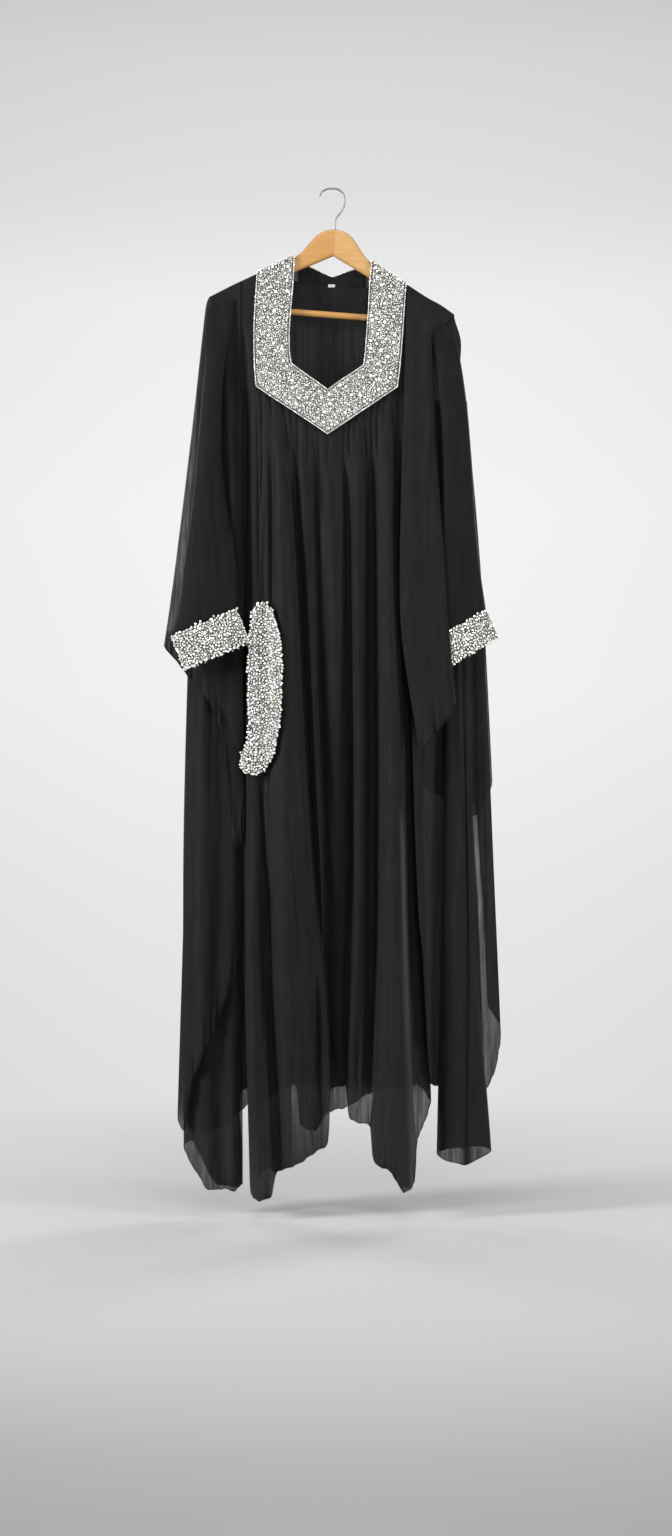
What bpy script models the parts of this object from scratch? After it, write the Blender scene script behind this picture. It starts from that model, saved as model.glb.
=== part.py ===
"""A long black jebba of sheer cloth, hung on a wooden hanger.

The gown is gathered under a beaded neck band. Side drapes, wing sleeves and inner sleeves with
beaded cuffs hang outside it. Every cloth piece is a thin closed wall. Its shape comes from a table
of fold lines: one row for each fold, with where it lies across the body and how far it stands out.
The origin is the inside of the hook's top, where a peg or rail holds the hanger.
+X is to the viewer's right, -Y is the front and +Z is up. Tables are in millimetres.
"""

import math
from collections import namedtuple

import bmesh
import bpy
import numpy as np
from mathutils import Vector
from mathutils.bvhtree import BVHTree

MM = 0.001

# Cloth and seams
CLOTH = 1.2
BAND = 2.0
CUFF = 2.2
SEAM_GAP = 0.3

# Hanger: a 40 cm wooden hanger that hangs a little lower on the right
ARM_THICK = 12.0
ARM_HALF = ARM_THICK / 2
ARM_ROUND = 4.5
ARM_REACH = 197.0
ARM_SLOPE = math.radians(29.1)
ROLL = math.radians(4.3)
CROWN_X, CROWN_Z = 2.6, -66.2
NECK_REACH, NECK_DROP = 63.5, -51.5
WAIST_DROP, WAIST_REACH, WAIST_SLOPE = -44.0, 62.0, math.radians(27)
ARM_END_DEEP, ARM_END_ROUND = 20.0, 13.0
BAR_WIDE, BAR_Z = 10.6, -141.0
WIRE = 3.2
HOOK_POINTS, HOOK_SIDES, BAR_SIDES = 26, 8, 12

# Where the cloth lies on the arms
FIRST_OUT = ARM_HALF + SEAM_GAP + CLOTH / 2
CREST_LIFT = 2.1
CREST_DROP = 4.0
WING_LIFT = 1.9
BAND_LIFT = 2.6
LIP = (CLOTH + SEAM_GAP) / 2

# Neck band: distance in front, growing below the shoulder
BAND_OUT_TOP = FIRST_OUT + CLOTH / 2 + SEAM_GAP + BAND / 2
BAND_OUT_LOW = 38.0
BAND_TOP_Z, BAND_LOW_Z = -150.0, -408.0
BAND_TUCK = 8.0
BAND_CELLS = 3
YOKE_Z = -326.0
UNDER_YOKE, UNDER_EDGE = 1.6, 0.4

# Back neck: depth at the sides, more in the middle, and how wide that is
BACK_SIDE_OUT, BACK_MORE_OUT, BACK_WIDE = 7.2, 8.0, 62.0
BACK_SIDE_DEEP = 28.0
BACK_LEAN, BACK_LEAN_OVER = 2.5, 50.0
BACK_BAND_OUT = BAND / 2 + SEAM_GAP + CLOTH / 2 + 0.2

# Below this height the gown's front and back meet at the sides
ARMHOLE_Z = -245.0

# Heights at which the fold tables are given
BUST_Z, ELBOW_Z, KNEE_Z = -513.0, -744.0, -1172.0
WING_LEFT_UPPER_Z, WING_FRONT_UPPER_Z, WING_BACK_UPPER_Z = -415.0, -250.0, -415.0
WING_LOWER_Z, WING_BACK_LOWER_Z = -678.0, -711.0

# Heights at which the side pieces start
GORE_LEFT_TOP, OVER_LEFT_TOP, OVER_RIGHT_TOP, GORE_RIGHT_TOP = -349.0, -316.0, -349.0, -382.0

# Rows of points down the cloth, as shares of its length
FRONT_ROWS = [0, 0.03, 0.07, 0.12, 0.18, 0.25, 0.33, 0.42, 0.51, 0.6, 0.69, 0.78, 0.87, 0.94, 1]
BACK_ROWS = [0, 0.05, 0.12, 0.2, 0.29, 0.39, 0.5, 0.61, 0.72, 0.83, 0.92, 1]
SIDE_ROWS = 3
PANEL_ROWS, GORE_ROWS = 12, 14

Fold = namedtuple(
    "Fold",
    "name x_top x_upper x_lower x_hem out_top out_upper out_lower out_hem hem_z",
)
Ring = namedtuple("Ring", "x z half_width tilt out half_depth")

# Gown front, left side seam to right side seam.
# name, x at top, bust, knee and hem, distance in front at the same heights, height of the hem
GOWN_FRONT = [
    Fold("left side seam", -155, -154, -149, -135, 12, 12, 8, 12, -1632),
    Fold("left recess", -143, -143, -142, -130, 17, 18, 32, 46, -1640),
    Fold("column one crown", -126, -127, -133, -119, 22, 34, 56, 78, -1644),
    Fold("column one inner", -114, -113, -116, -100, 25, 33, 44, 60, -1647),
    Fold("notch", -105, -103, -107, -93, 27, 35, 44, 42, -1614),
    Fold("fold a", -93, -89, -76, -68, 27, 46, 66, 70, -1602),
    Fold("fold a inner", -77, -72, -49, -45, 27, 36, 50, 55, -1590),
    Fold("valley a", -67, -62, -31, -27, 27, 28, 28, 42, -1580),
    Fold("ridge b", -49, -47, -21, -10, 30, 42, 36, 56, -1563),
    Fold("centre left", -29, -27, -12, -5, 33, 31, 18, 15, -1484),
    Fold("centre", -8, -5, 7, 7, 34, 44, 26, 11, -1478),
    Fold("centre right", 18, 22, 30, 19, 31, 32, 22, 14, -1476),
    Fold("ridge c", 38, 40, 40, 26, 29, 44, 46, 42, -1525),
    Fold("lobe c", 50, 51, 51, 44, 28, 33, 40, 48, -1534),
    Fold("valley c", 59, 61, 61, 59, 27, 26, 24, 30, -1539),
    Fold("column two left", 72, 76, 79, 65, 27, 40, 50, 62, -1592),
    Fold("column two crown", 86, 87, 96, 91, 26, 48, 66, 80, -1608),
    Fold("column two inner", 97, 98, 111, 115, 25, 38, 56, 84, -1640),
    Fold("column two edge", 107, 108, 118, 130, 22, 30, 38, 60, -1631),
    Fold("right valley", 117, 117, 123, 137, 20, 34, 22, 30, -1564),
    Fold("right lobe", 127, 127, 133, 151, 16, 22, 16, 24, -1530),
    Fold("right side seam", 142, 139, 149, 160, 12, 9, 8, 10, -1501),
]
FRONT_LEFT_EDGE, FRONT_RIGHT_EDGE = 3, 17

# Gown back, in the same order; a distance in front below zero lies behind
GOWN_BACK = [
    Fold("left side seam", -155, -154, -149, -135, 12, 12, 8, 12, -1632),
    Fold("left turn", -145, -144, -138, -124, -7, -12, -14, -14, -1537),
    Fold("ridge one", -129, -123, -120, -110, -7, -26, -36, -40, -1501),
    Fold("valley one", -112, -103, -96, -83, -8, -22, -26, -28, -1486),
    Fold("ridge two", -92, -83, -73, -63, -9, -34, -46, -52, -1482),
    Fold("valley two", -72, -66, -60, -56, -12, -28, -34, -38, -1544),
    Fold("ridge three", -53, -46, -36, -33, -14, -36, -48, -54, -1561),
    Fold("valley three", -29, -26, -20, -13, -15, -28, -34, -36, -1540),
    Fold("ridge four", -3, -3, 7, 7, -15, -36, -48, -52, -1524),
    Fold("valley four", 20, 20, 27, 30, -15, -28, -36, -38, -1507),
    Fold("ridge five", 43, 44, 54, 60, -14, -36, -48, -52, -1497),
    Fold("valley five", 66, 70, 77, 84, -12, -28, -34, -36, -1489),
    Fold("ridge six", 90, 97, 104, 114, -9, -34, -42, -44, -1485),
    Fold("right turn", 109, 120, 126, 140, -8, -18, -20, -20, -1480),
    Fold("right side seam", 142, 139, 149, 160, 12, 9, 8, 10, -1501),
]
BACK_LEFT_EDGE, BACK_RIGHT_EDGE = 3, 13

# Long left gore: from its front edge round the outline to its back edge
GORE_LEFT = [
    Fold("front inner", -160, -158, -152, -150, 4, 4, 4, 6, -1638),
    Fold("front ridge", -174, -173, -169, -166, 5, 6, 9, 16, -1650),
    Fold("front valley", -194, -194, -191, -184, 4, 5, 6, 10, -1646),
    Fold("corner", -211, -212, -212, -203, 4, 6, 9, 16, -1648),
    Fold("front outer", -219, -227, -232, -225, 2, 3, 5, 8, -1622),
    Fold("outline", -223, -240, -249, -248, -4, -7, -8, -8, -1579),
    Fold("back outer", -216, -228, -235, -239, -10, -14, -22, -22, -1572),
    Fold("back ridge", -198, -202, -209, -213, -11, -17, -32, -34, -1560),
    Fold("back valley", -175, -179, -179, -182, -11, -16, -26, -28, -1548),
    Fold("back inner", -160, -159, -144, -132, -11, -17, -30, -32, -1502),
]

# Front layer over the left gore, with a slanting hem
OVER_LEFT = [
    Fold("inner edge", -161, -154, -149, -149, 9, 16, 18, 16, -1245),
    Fold("inner ridge", -171, -169, -165, -169, 9, 18, 25, 24, -1307),
    Fold("valley", -187, -189, -187, -192, 9, 15, 18, 18, -1375),
    Fold("outer ridge", -200, -210, -210, -215, 8, 17, 24, 24, -1427),
    Fold("outer slope", -207, -223, -226, -233, 7.2, 13, 16, 16, -1474),
    Fold("outer edge", -212, -234, -245, -252, 5.4, 7, 8, 8, -1505),
]

# Left wing: from its front edge round the outline to its back edge, with corner points at the hem
WING_LEFT = [
    Fold("front inner", -156, -155.6, -149, -147, 6.9, 17.5, 24, 26, -1053),
    Fold("front tip", -166, -169, -164, -160, 6.9, 15, 26, 28, -1094),
    Fold("front valley", -178, -185, -183, -183, 6.9, 14, 23, 26, -900),
    Fold("front ridge", -189, -204, -206, -210, 6.9, 14, 24, 26, -838),
    Fold("front outer", -199, -222, -236, -241, 6.9, 11, 18, 20, -799),
    Fold("front turn", -205, -232, -260, -270, 6.9, 7, 10, 11, -765),
    Fold("outline", -210, -236, -269, -280, 0, 0, 0, 0, -753),
    Fold("back turn", -205, -233, -261, -269, -6.9, -8, -10, -10, -768),
    Fold("back outer", -199, -222, -238, -242, -6.9, -14, -21, -22, -825),
    Fold("back ridge", -190, -205, -209, -209, -6.9, -18, -28, -32, -941),
    Fold("back tip", -175, -182, -176, -173, -6.9, -18, -26, -30, -1058),
    Fold("back inner", -156, -155.6, -150, -146, -6.9, -21, -30, -34, -1008),
]

# Front layer on the right, behind the right gore, with a slanting hem
OVER_RIGHT = [
    Fold("inner edge", 127, 126, 128, 139, 20.5, 34, 38, 36, -1211),
    Fold("tip", 133, 133, 141, 149, 19, 32, 34, 33, -1288),
    Fold("recess", 152, 155, 159, 161, 10, 12, 18, 22, -1474),
    Fold("inner slope", 172, 177, 185, 192, 3, 2, 0, 0, -1480),
    Fold("middle", 192, 202, 212, 218, -1, -1, -2, -3, -1486),
    Fold("outer slope", 208, 223, 238, 245, -4, -3, -4, -4, -1487),
    Fold("outer turn", 215, 237, 256, 263, -5, -5, -6, -6, -1463),
    Fold("outer edge", 220, 247, 266, 276, -6, -8, -9, -9, -1404),
]

# Right gore: a long fold that closes into a tube
GORE_RIGHT = [
    Fold("left edge", 181, 184, 178, 169, 9, 9, 20, 24, -1586),
    Fold("front left", 190, 193, 193, 183, 13, 14, 34, 44, -1595),
    Fold("front crown", 199, 203, 208, 203, 14, 15, 38, 50, -1599),
    Fold("front fold", 204, 209, 216, 214, 12, 13, 32, 42, -1603),
    Fold("front right", 209, 216, 221, 234, 13, 14, 34, 46, -1593),
    Fold("right edge", 214, 224, 230, 258, 9, 9, 20, 28, -1581),
    Fold("back right", 205, 215, 218, 237, 5, 5, 8, 8, -1577),
    Fold("back left", 192, 195, 194, 193, 5, 5, 8, 8, -1580),
]

# Right wing: the half in front of the sleeve and the half behind it
WING_RIGHT_FRONT = [
    Fold("left edge", 121, 118, 127, 141, 11.4, 24, 56, 58, -940),
    Fold("left ridge", 139, 128, 139, 151, 11.4, 26, 62, 64, -917),
    Fold("valley", 157, 139, 152, 163, 11.4, 24, 56, 58, -901),
    Fold("right ridge", 176, 152, 166, 181, 11.4, 25, 58, 60, -880),
    Fold("right edge", 195, 163, 184, 199, 11.4, 23, 50, 52, -850),
]
WING_RIGHT_BACK = [
    Fold("inner edge", 123, 123, 127, 130, -8.4, -24, -34, -38, -958),
    Fold("inner ridge", 139, 143, 150, 157, -8.4, -26, -38, -42, -991),
    Fold("valley", 156, 166, 176, 187, -8.4, -20, -28, -32, -1008),
    Fold("outer ridge", 172, 189, 203, 217, -8.4, -22, -32, -36, -1038),
    Fold("outer slope", 185, 209, 229, 234, -8.4, -14, -20, -22, -1032),
    Fold("outer edge", 197, 224, 248, 262, -8.4, -9, -12, -13, -983),
]

# Sleeves as rings: centre, half the flat width, tilt in degrees, distance in front, half the depth
SLEEVE_LEFT = [
    Ring(-184, -191, 23, 24, 9.9, 0.8),
    Ring(-189, -226, 22.2, 16, 15, 3.5),
    Ring(-196, -302, 15.6, 6, 26, 10),
    Ring(-202, -385, 17.2, 3, 33, 14),
    Ring(-205, -461, 20.4, 2, 38, 15),
    Ring(-205, -549, 29.4, 4, 42, 15),
    Ring(-205, -615, 39.2, 8, 44, 15),
    Ring(-205, -667, 47.3, 15, 46, 15),
    Ring(-212, -717, 55.8, 22.9, 47, 14),
]
CUFF_LEFT = [
    Ring(-212, -718, 55.8, 22.9, 47, 14),
    Ring(-201, -745, 55.8, 22.9, 47, 14),
    Ring(-191, -771, 55.5, 22.9, 47, 14),
]
SLEEVE_RIGHT = [
    Ring(174, -212, 22, -32, 8.0, 0.8),
    Ring(178, -238, 23, -24, 12, 3.5),
    Ring(189, -300, 22, -8, 20, 9),
    Ring(199, -401, 22.9, 0, 30, 13),
    Ring(203, -500, 25.4, 4, 34, 14),
    Ring(202, -590, 32.7, 10, 35, 14),
    Ring(200, -663, 44.2, 20, 35, 14),
    Ring(200, -724, 56, 30, 35, 13),
]
CUFF_RIGHT = [
    Ring(200, -725, 56, 30, 35, 13),
    Ring(210, -747, 56, 30, 35, 13),
    Ring(220, -769, 55.6, 30, 35, 13),
]

# Neck band, front: outer x and z, inner x and z, from below the left shoulder to the right one
Station = namedtuple("Station", "outer_x outer_z inner_x inner_z")
NECK_FRONT = [
    Station(-129, -185, -67.5, -160),
    Station(-131, -225, -71, -202),
    Station(-131, -265, -73.5, -240),
    Station(-130, -300, -73, -270),
    Station(-127, -329, -70, -291),
    Station(-98, -349, -50, -306),
    Station(-54, -378, -30, -320),
    Station(-10, -408, -10, -335),
    Station(28, -382, 10, -320),
    Station(66, -356, 30, -307),
    Station(104, -330, 49, -294),
    Station(108, -300, 52, -272),
    Station(111, -268, 54, -240),
    Station(114, -227, 57, -202),
    Station(116.5, -190, 59, -160),
]
NECK_BACK = [
    Station(-118, -162, -58, -120),
    Station(-95, -185, -37, -127),
    Station(-50, -203, -20, -135),
    Station(-2, -209, -2, -142),
    Station(45, -205, 15, -136),
    Station(88, -188, 34, -130),
    Station(111, -170, 52, -126),
]
SHOULDER_LEFT = (-126.0, -65.0)
SHOULDER_RIGHT = (118.5, 62.5)
# Seam between the facing inside the back neck and the gown's back
SEAM_LEFT, SEAM_RIGHT = (-64.0, -149.0), (58.0, -160.0)

# Beaded pocket band: height, left edge, right edge
PocketRow = namedtuple("PocketRow", "z left right")
POCKET = [
    PocketRow(-685, -124, -110),
    PocketRow(-698, -133, -100),
    PocketRow(-723, -136, -92),
    PocketRow(-751, -138, -86),
    PocketRow(-791, -139, -84),
    PocketRow(-832, -140, -85),
    PocketRow(-866, -139, -86),
    PocketRow(-891, -138, -89),
    PocketRow(-914, -142, -94),
    PocketRow(-935, -150, -99),
    PocketRow(-948, -151, -106),
    PocketRow(-958, -147, -113),
    PocketRow(-965, -136, -123),
]
POCKET_CLEAR = 2.4
POCKET_MIN_OUT = 34.0

LABEL_SIZE = (11.5, 0.6, 5.0)
LABEL_AT = (-3.8, 14.0, -156.4)

# Hook: points along the wire's middle, across and up
HOOK_PATH = [
    (-23.4, -10.7), (-18.6, -3.2), (-9.6, 0.9), (0.0, 1.6), (8.6, -0.7), (16.0, -8.2),
    (18.5, -20.1), (16.6, -29.5), (12.2, -37.5), (6.9, -43.7), (3.6, -49.5), (2.6, -56.5),
]


# Curves through named values


def slopes(steps, rises, closed):
    """Slopes of a smooth curve that never overshoots its keys."""
    rate = rises / steps
    count = len(rate)
    out = np.zeros((count if closed else count + 1,) + rate.shape[1:])
    for i in range(out.shape[0]):
        before, after = i - 1, i
        if not closed and i == 0:
            out[i] = rate[0]
            continue
        if not closed and i == count:
            out[i] = rate[-1]
            continue
        product = rate[before] * rate[after]
        total = rate[before] + rate[after]
        safe = np.where(np.abs(total) < 1e-9, 1.0, total)
        out[i] = np.where(product > 0, 2 * product / safe, 0.0)
    return out


def smooth_curve(keys, values, at, closed=False):
    """Values at the places in at, on a smooth curve through the keys."""
    keys = np.asarray(keys, float)
    values = np.asarray(values, float)
    ends = np.concatenate([values, values[:1]]) if closed else values
    steps = np.diff(keys)
    rises = np.diff(ends, axis=0)
    shaped = steps.reshape((-1,) + (1,) * (rises.ndim - 1))
    tangents = slopes(shaped, rises, closed)
    if closed:
        tangents = np.concatenate([tangents, tangents[:1]])
    result = []
    for place in at:
        i = int(np.clip(np.searchsorted(keys, place, side="right") - 1, 0, len(steps) - 1))
        t = (place - keys[i]) / steps[i]
        h00 = 2 * t**3 - 3 * t**2 + 1
        h10 = t**3 - 2 * t**2 + t
        h01 = 3 * t**2 - 2 * t**3
        h11 = t**3 - t**2
        result.append(
            h00 * ends[i] + h10 * steps[i] * tangents[i] + h01 * ends[i + 1]
            + h11 * steps[i] * tangents[i + 1]
        )
    return np.array(result)


def refine(columns, steps, closed=False):
    """Fold lines as columns of numbers, with steps places between each two."""
    columns = np.asarray(columns, float)
    spans = len(columns) if closed else len(columns) - 1
    at = np.arange(spans * steps + (0 if closed else 1)) / steps
    return smooth_curve(np.arange(spans + 1), columns, at, closed)


# Shoulder line and neck band


def arm_top(x):
    """Height of the hanger arm's upper edge at x."""
    cos_r, sin_r = math.cos(ROLL), math.sin(ROLL)
    left = x < CROWN_X
    side = -1 if left else 1
    start_x = CROWN_X + side * NECK_REACH * cos_r + NECK_DROP * sin_r
    start_z = CROWN_Z - side * NECK_REACH * sin_r + NECK_DROP * cos_r
    slope = math.tan(ARM_SLOPE + side * ROLL)
    return start_z - slope * (side * (x - start_x))


def crest(x, lift=0.0):
    """Height of the cloth's fold over the hanger arm."""
    return arm_top(x) + CREST_LIFT + lift


def band_out(z):
    """How far the neck band stands in front at height z."""
    along = np.clip((BAND_TOP_Z - z) / (BAND_TOP_Z - BAND_LOW_Z), 0, 1)
    return BAND_OUT_TOP + along * (BAND_OUT_LOW - BAND_OUT_TOP)


def under_band(z):
    """Distance in front of cloth that passes under the neck band."""
    along = np.clip((BAND_TOP_Z - z) / (BAND_TOP_Z - YOKE_Z), 0, 1)
    return band_out(z) - BAND / 2 - SEAM_GAP - CLOTH / 2 - UNDER_YOKE * along


def band_edge(x):
    """Height of the neck band's lower edge at x."""
    xs = [s.outer_x for s in NECK_FRONT if s.outer_z <= NECK_FRONT[4].outer_z]
    zs = [s.outer_z for s in NECK_FRONT if s.outer_z <= NECK_FRONT[4].outer_z]
    return float(np.interp(x, xs, zs))


def seam_height(x):
    """Height of the seam at the back neck at x."""
    along = (x - SEAM_LEFT[0]) / (SEAM_RIGHT[0] - SEAM_LEFT[0])
    return SEAM_LEFT[1] + along * (SEAM_RIGHT[1] - SEAM_LEFT[1])


# Walls from grids of points


def fold_points(heights, keys):
    """Points of one fold line at the given heights; keys are heights with x and out."""
    order = sorted(keys, key=lambda key: -key[0])
    places = [-key[0] for key in order]
    values = [key[1:] for key in order]
    found = smooth_curve(places, values, [-z for z in heights])
    return [(x, -out, z) for (x, out), z in zip(found, heights)]


def fold_numbers(fold):
    """The numbers of one row of a fold table."""
    return list(fold[1:])


def drape(folds, top, upper_z, lower_z, rows, steps, closed=False, crest_row=None):
    """Grid of points for a cloth piece that hangs from its top edge.

    top(fold) gives the height of the first full row. crest_row(line) gives the point over the
    hanger's arm that comes before it, when the piece is folded over the arm.
    """
    table = [fold_numbers(f) + [top(f)] for f in folds]
    lines = refine(table, steps, closed)
    columns = []
    for line in lines:
        hem_z, top_z = line[8], line[9]
        keys = [(top_z, line[0], line[4]), (hem_z, line[3], line[7])]
        if top_z > upper_z > hem_z:
            keys.append((upper_z, line[1], line[5]))
        if top_z > lower_z > hem_z:
            keys.append((lower_z, line[2], line[6]))
        heights = [top_z + (hem_z - top_z) * t for t in even(rows)]
        column = fold_points(heights, keys)
        if crest_row:
            column = [crest_row(line)] + column
        columns.append(column)
    return np.array(columns).transpose(1, 0, 2)


def normals(points, closed):
    """Unit normals of a grid of points, all on one side of it."""
    down = np.gradient(points, axis=0)
    if closed:
        across = (np.roll(points, -1, axis=1) - np.roll(points, 1, axis=1)) / 2
    else:
        across = np.gradient(points, axis=1)
    found = np.cross(across, down)
    size = np.linalg.norm(found, axis=2, keepdims=True)
    return found / np.where(size < 1e-9, 1.0, size)


def wall(points, thick, closed=False, keep=None):
    """Vertices and triangles of a closed wall around a grid of points; keep marks the cells used."""
    rows, columns = points.shape[:2]
    cells_across = columns if closed else columns - 1
    if keep is None:
        keep = np.ones((rows - 1, cells_across), bool)
    lean = normals(points, closed)
    outer = points + lean * thick / 2
    inner = points - lean * thick / 2
    used = {}
    verts = []

    def vertex(side, i, j):
        key = (side, i, j % columns)
        if key not in used:
            used[key] = len(verts)
            verts.append((outer if side == 0 else inner)[key[1], key[2]])
        return used[key]

    def cell(i, j):
        if closed:
            j %= cells_across
        return 0 <= i < rows - 1 and 0 <= j < cells_across and keep[i, j]

    faces = []
    for i in range(rows - 1):
        for j in range(cells_across):
            if not cell(i, j):
                continue
            corners = [(i, j), (i + 1, j), (i + 1, j + 1), (i, j + 1)]
            a, b, c, d = (vertex(0, *corner) for corner in corners)
            faces += [(a, b, c), (a, c, d)]
            a, b, c, d = (vertex(1, *corner) for corner in corners)
            faces += [(a, c, b), (a, d, c)]
            edges = [
                ((i, j), (i, j + 1), cell(i - 1, j)),
                ((i + 1, j + 1), (i + 1, j), cell(i + 1, j)),
                ((i + 1, j), (i, j), cell(i, j - 1)),
                ((i, j + 1), (i + 1, j + 1), cell(i, j + 1)),
            ]
            for start, end, filled in edges:
                if filled:
                    continue
                a, b = vertex(0, *start), vertex(0, *end)
                c, d = vertex(1, *end), vertex(1, *start)
                faces += [(a, b, c), (a, c, d)]
    return verts, faces


def add_mesh(name, verts, faces, material, sharp=40.0):
    """One named object from points in millimetres, its faces pointing out."""
    mesh = bpy.data.meshes.new(name)
    mesh.from_pydata([tuple(np.asarray(v, float) * MM) for v in verts], [], faces)
    shape = bmesh.new()
    shape.from_mesh(mesh)
    bmesh.ops.recalc_face_normals(shape, faces=shape.faces[:])
    if shape.calc_volume(signed=True) < 0:
        bmesh.ops.reverse_faces(shape, faces=shape.faces[:])
    shape.to_mesh(mesh)
    shape.free()
    mesh.shade_smooth()
    mesh.set_sharp_from_angle(angle=math.radians(sharp))
    mesh.materials.append(material)
    piece = bpy.data.objects.new(name, mesh)
    bpy.context.collection.objects.link(piece)
    return piece


def add_wall(name, points, material, thick=CLOTH, closed=False, keep=None):
    """A cloth wall as one named object."""
    verts, faces = wall(points, thick, closed, keep)
    return add_mesh(name, verts, faces, material)


def even(count):
    """Places from 0 to 1 with count even steps."""
    return [i / count for i in range(count + 1)]


# Materials


def make_material(name, colour, roughness, metallic=0.0):
    """A plain material of one colour."""
    material = bpy.data.materials.new(name)
    material.use_nodes = True
    shader = material.node_tree.nodes["Principled BSDF"]
    shader.inputs["Base Color"].default_value = (*colour, 1.0)
    shader.inputs["Roughness"].default_value = roughness
    shader.inputs["Metallic"].default_value = metallic
    return material


# Cloth pieces


def lip_row(sign, lift):
    """The point over the hanger's arm that starts a fold line; sign is 1 in front, -1 behind."""
    def point(line):
        return (line[0], -sign * LIP, crest(line[0], lift))
    return point


def gown_panel(folds, edges, yoke, yoke_out, sign, rows, steps):
    """Grid and kept cells of a gown panel with a neck opening between two fold lines."""
    lines = refine([fold_numbers(f) for f in folds], steps)
    first, last = edges[0] * steps, edges[1] * steps
    side_rows = even(SIDE_ROWS)
    columns = []
    for j, line in enumerate(lines):
        hem_z, top_z = line[8], crest(line[0]) - CREST_DROP
        middle = first < j < last
        yoke_z = yoke(line[0], middle)
        out_yoke = yoke_out(line, yoke_z)
        side_keys = [(top_z, line[0], sign * FIRST_OUT), (yoke_z, line[0], out_yoke)]
        heights = [top_z + (yoke_z - top_z) * t for t in side_rows]
        upper = fold_points(heights, side_keys)
        upper = [(x, -limit_out(-y, z, sign), z) for x, y, z in upper]
        keys = [
            (yoke_z, line[0], out_yoke),
            (BUST_Z, line[1], line[5]),
            (KNEE_Z, line[2], line[6]),
            (hem_z, line[3], line[7]),
        ]
        if middle and sign > 0:
            edge_z = yoke_z - BAND_TUCK
            keys.append((edge_z, line[0], under_band(edge_z) - UNDER_EDGE))
        if sign < 0:
            keys.append((ARMHOLE_Z, line[0], -back_neck_out(line[0]) - BACK_LEAN))
        heights = [yoke_z + (hem_z - yoke_z) * t for t in rows]
        lower = fold_points(heights, keys)
        crest_point = (line[0], -sign * LIP, crest(line[0]))
        columns.append([crest_point] + upper + lower[1:])
    points = np.array(columns).transpose(1, 0, 2)
    keep = np.ones((points.shape[0] - 1, points.shape[1] - 1), bool)
    keep[: SIDE_ROWS + 1, first:last] = False
    return points, keep


def limit_out(out, z, sign):
    """Keeps the front cloth under the neck band at the shoulder."""
    return min(out, under_band(z)) if sign > 0 else out


def front_yoke(x, middle):
    """Height at which the front's table of folds takes over from the shoulder."""
    return band_edge(x) + BAND_TUCK if middle else YOKE_Z


def front_yoke_out(line, yoke_z):
    """Distance in front at that height."""
    return min(line[4], under_band(yoke_z))


def back_yoke(x, middle):
    """Height at which the back's table of folds takes over from the shoulder."""
    return seam_height(x) if middle else crest(x) - BACK_SIDE_DEEP


def back_yoke_out(line, yoke_z):
    """Distance in front at that height, below zero behind."""
    return -back_neck_out(line[0])


def seam_lips(points, sign):
    """Sets the two side edges of a gown panel face to face with the other panel's."""
    for edge in (0, -1):
        joined = np.clip((ARMHOLE_Z - points[:, edge, 2]) / (ARMHOLE_Z - BUST_Z), 0, 1)
        points[:, edge, 1] -= sign * LIP * joined
    return points


def build_gown(cloth):
    """Front and back of the gown; returns the front's grid for what lies on it."""
    front, keep = gown_panel(GOWN_FRONT, (FRONT_LEFT_EDGE, FRONT_RIGHT_EDGE), front_yoke,
                             front_yoke_out, 1, FRONT_ROWS, 3)
    front = seam_lips(front, 1)
    add_wall("gown_front", front, cloth, keep=keep)
    back, keep = gown_panel(GOWN_BACK, (BACK_LEFT_EDGE, BACK_RIGHT_EDGE), back_yoke,
                            back_yoke_out, -1, BACK_ROWS, 2)
    back = seam_lips(back, -1)
    add_wall("gown_back", back, cloth, keep=keep)
    return front


def build_side_panels(cloth):
    """Gores, the layers over them and the wings."""
    gore_left = drape(GORE_LEFT, lambda f: GORE_LEFT_TOP, ELBOW_Z, KNEE_Z, PANEL_ROWS, 2)
    add_wall("gore_left", gore_left, cloth)
    over_left = drape(OVER_LEFT, lambda f: OVER_LEFT_TOP, ELBOW_Z, KNEE_Z, PANEL_ROWS, 2)
    add_wall("over_left", over_left, cloth)
    over_right = drape(OVER_RIGHT, lambda f: OVER_RIGHT_TOP, ELBOW_Z, KNEE_Z, PANEL_ROWS, 2)
    add_wall("over_right", over_right, cloth)
    gore_right = drape(GORE_RIGHT, lambda f: GORE_RIGHT_TOP, ELBOW_Z, KNEE_Z, GORE_ROWS, 2,
                       closed=True)
    add_wall("gore_right", gore_right, cloth, closed=True)
    left = drape(WING_LEFT, lambda f: crest(f.x_top) - CREST_DROP, WING_LEFT_UPPER_Z,
                 WING_LOWER_Z, PANEL_ROWS, 2, crest_row=wing_crest)
    add_wall("wing_left", left, cloth)
    front = drape(WING_RIGHT_FRONT, wing_top, WING_FRONT_UPPER_Z, WING_LOWER_Z, PANEL_ROWS, 2,
                  crest_row=lip_row(1, WING_LIFT))
    add_wall("wing_right_front", front, cloth)
    back = drape(WING_RIGHT_BACK, wing_top, WING_BACK_UPPER_Z, WING_BACK_LOWER_Z, PANEL_ROWS, 2,
                 crest_row=lip_row(-1, WING_LIFT))
    add_wall("wing_right_back", back, cloth)


def wing_top(fold):
    """Height of the right wing's first row below the fold over the arm."""
    return crest(fold.x_top, WING_LIFT) - CREST_DROP


def wing_crest(line):
    """The left wing's fold over the arm: its lips meet, and it turns at the outline."""
    return (line[0], -LIP * float(np.clip(line[4] / FIRST_OUT, -1, 1)), crest(line[0]))


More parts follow.
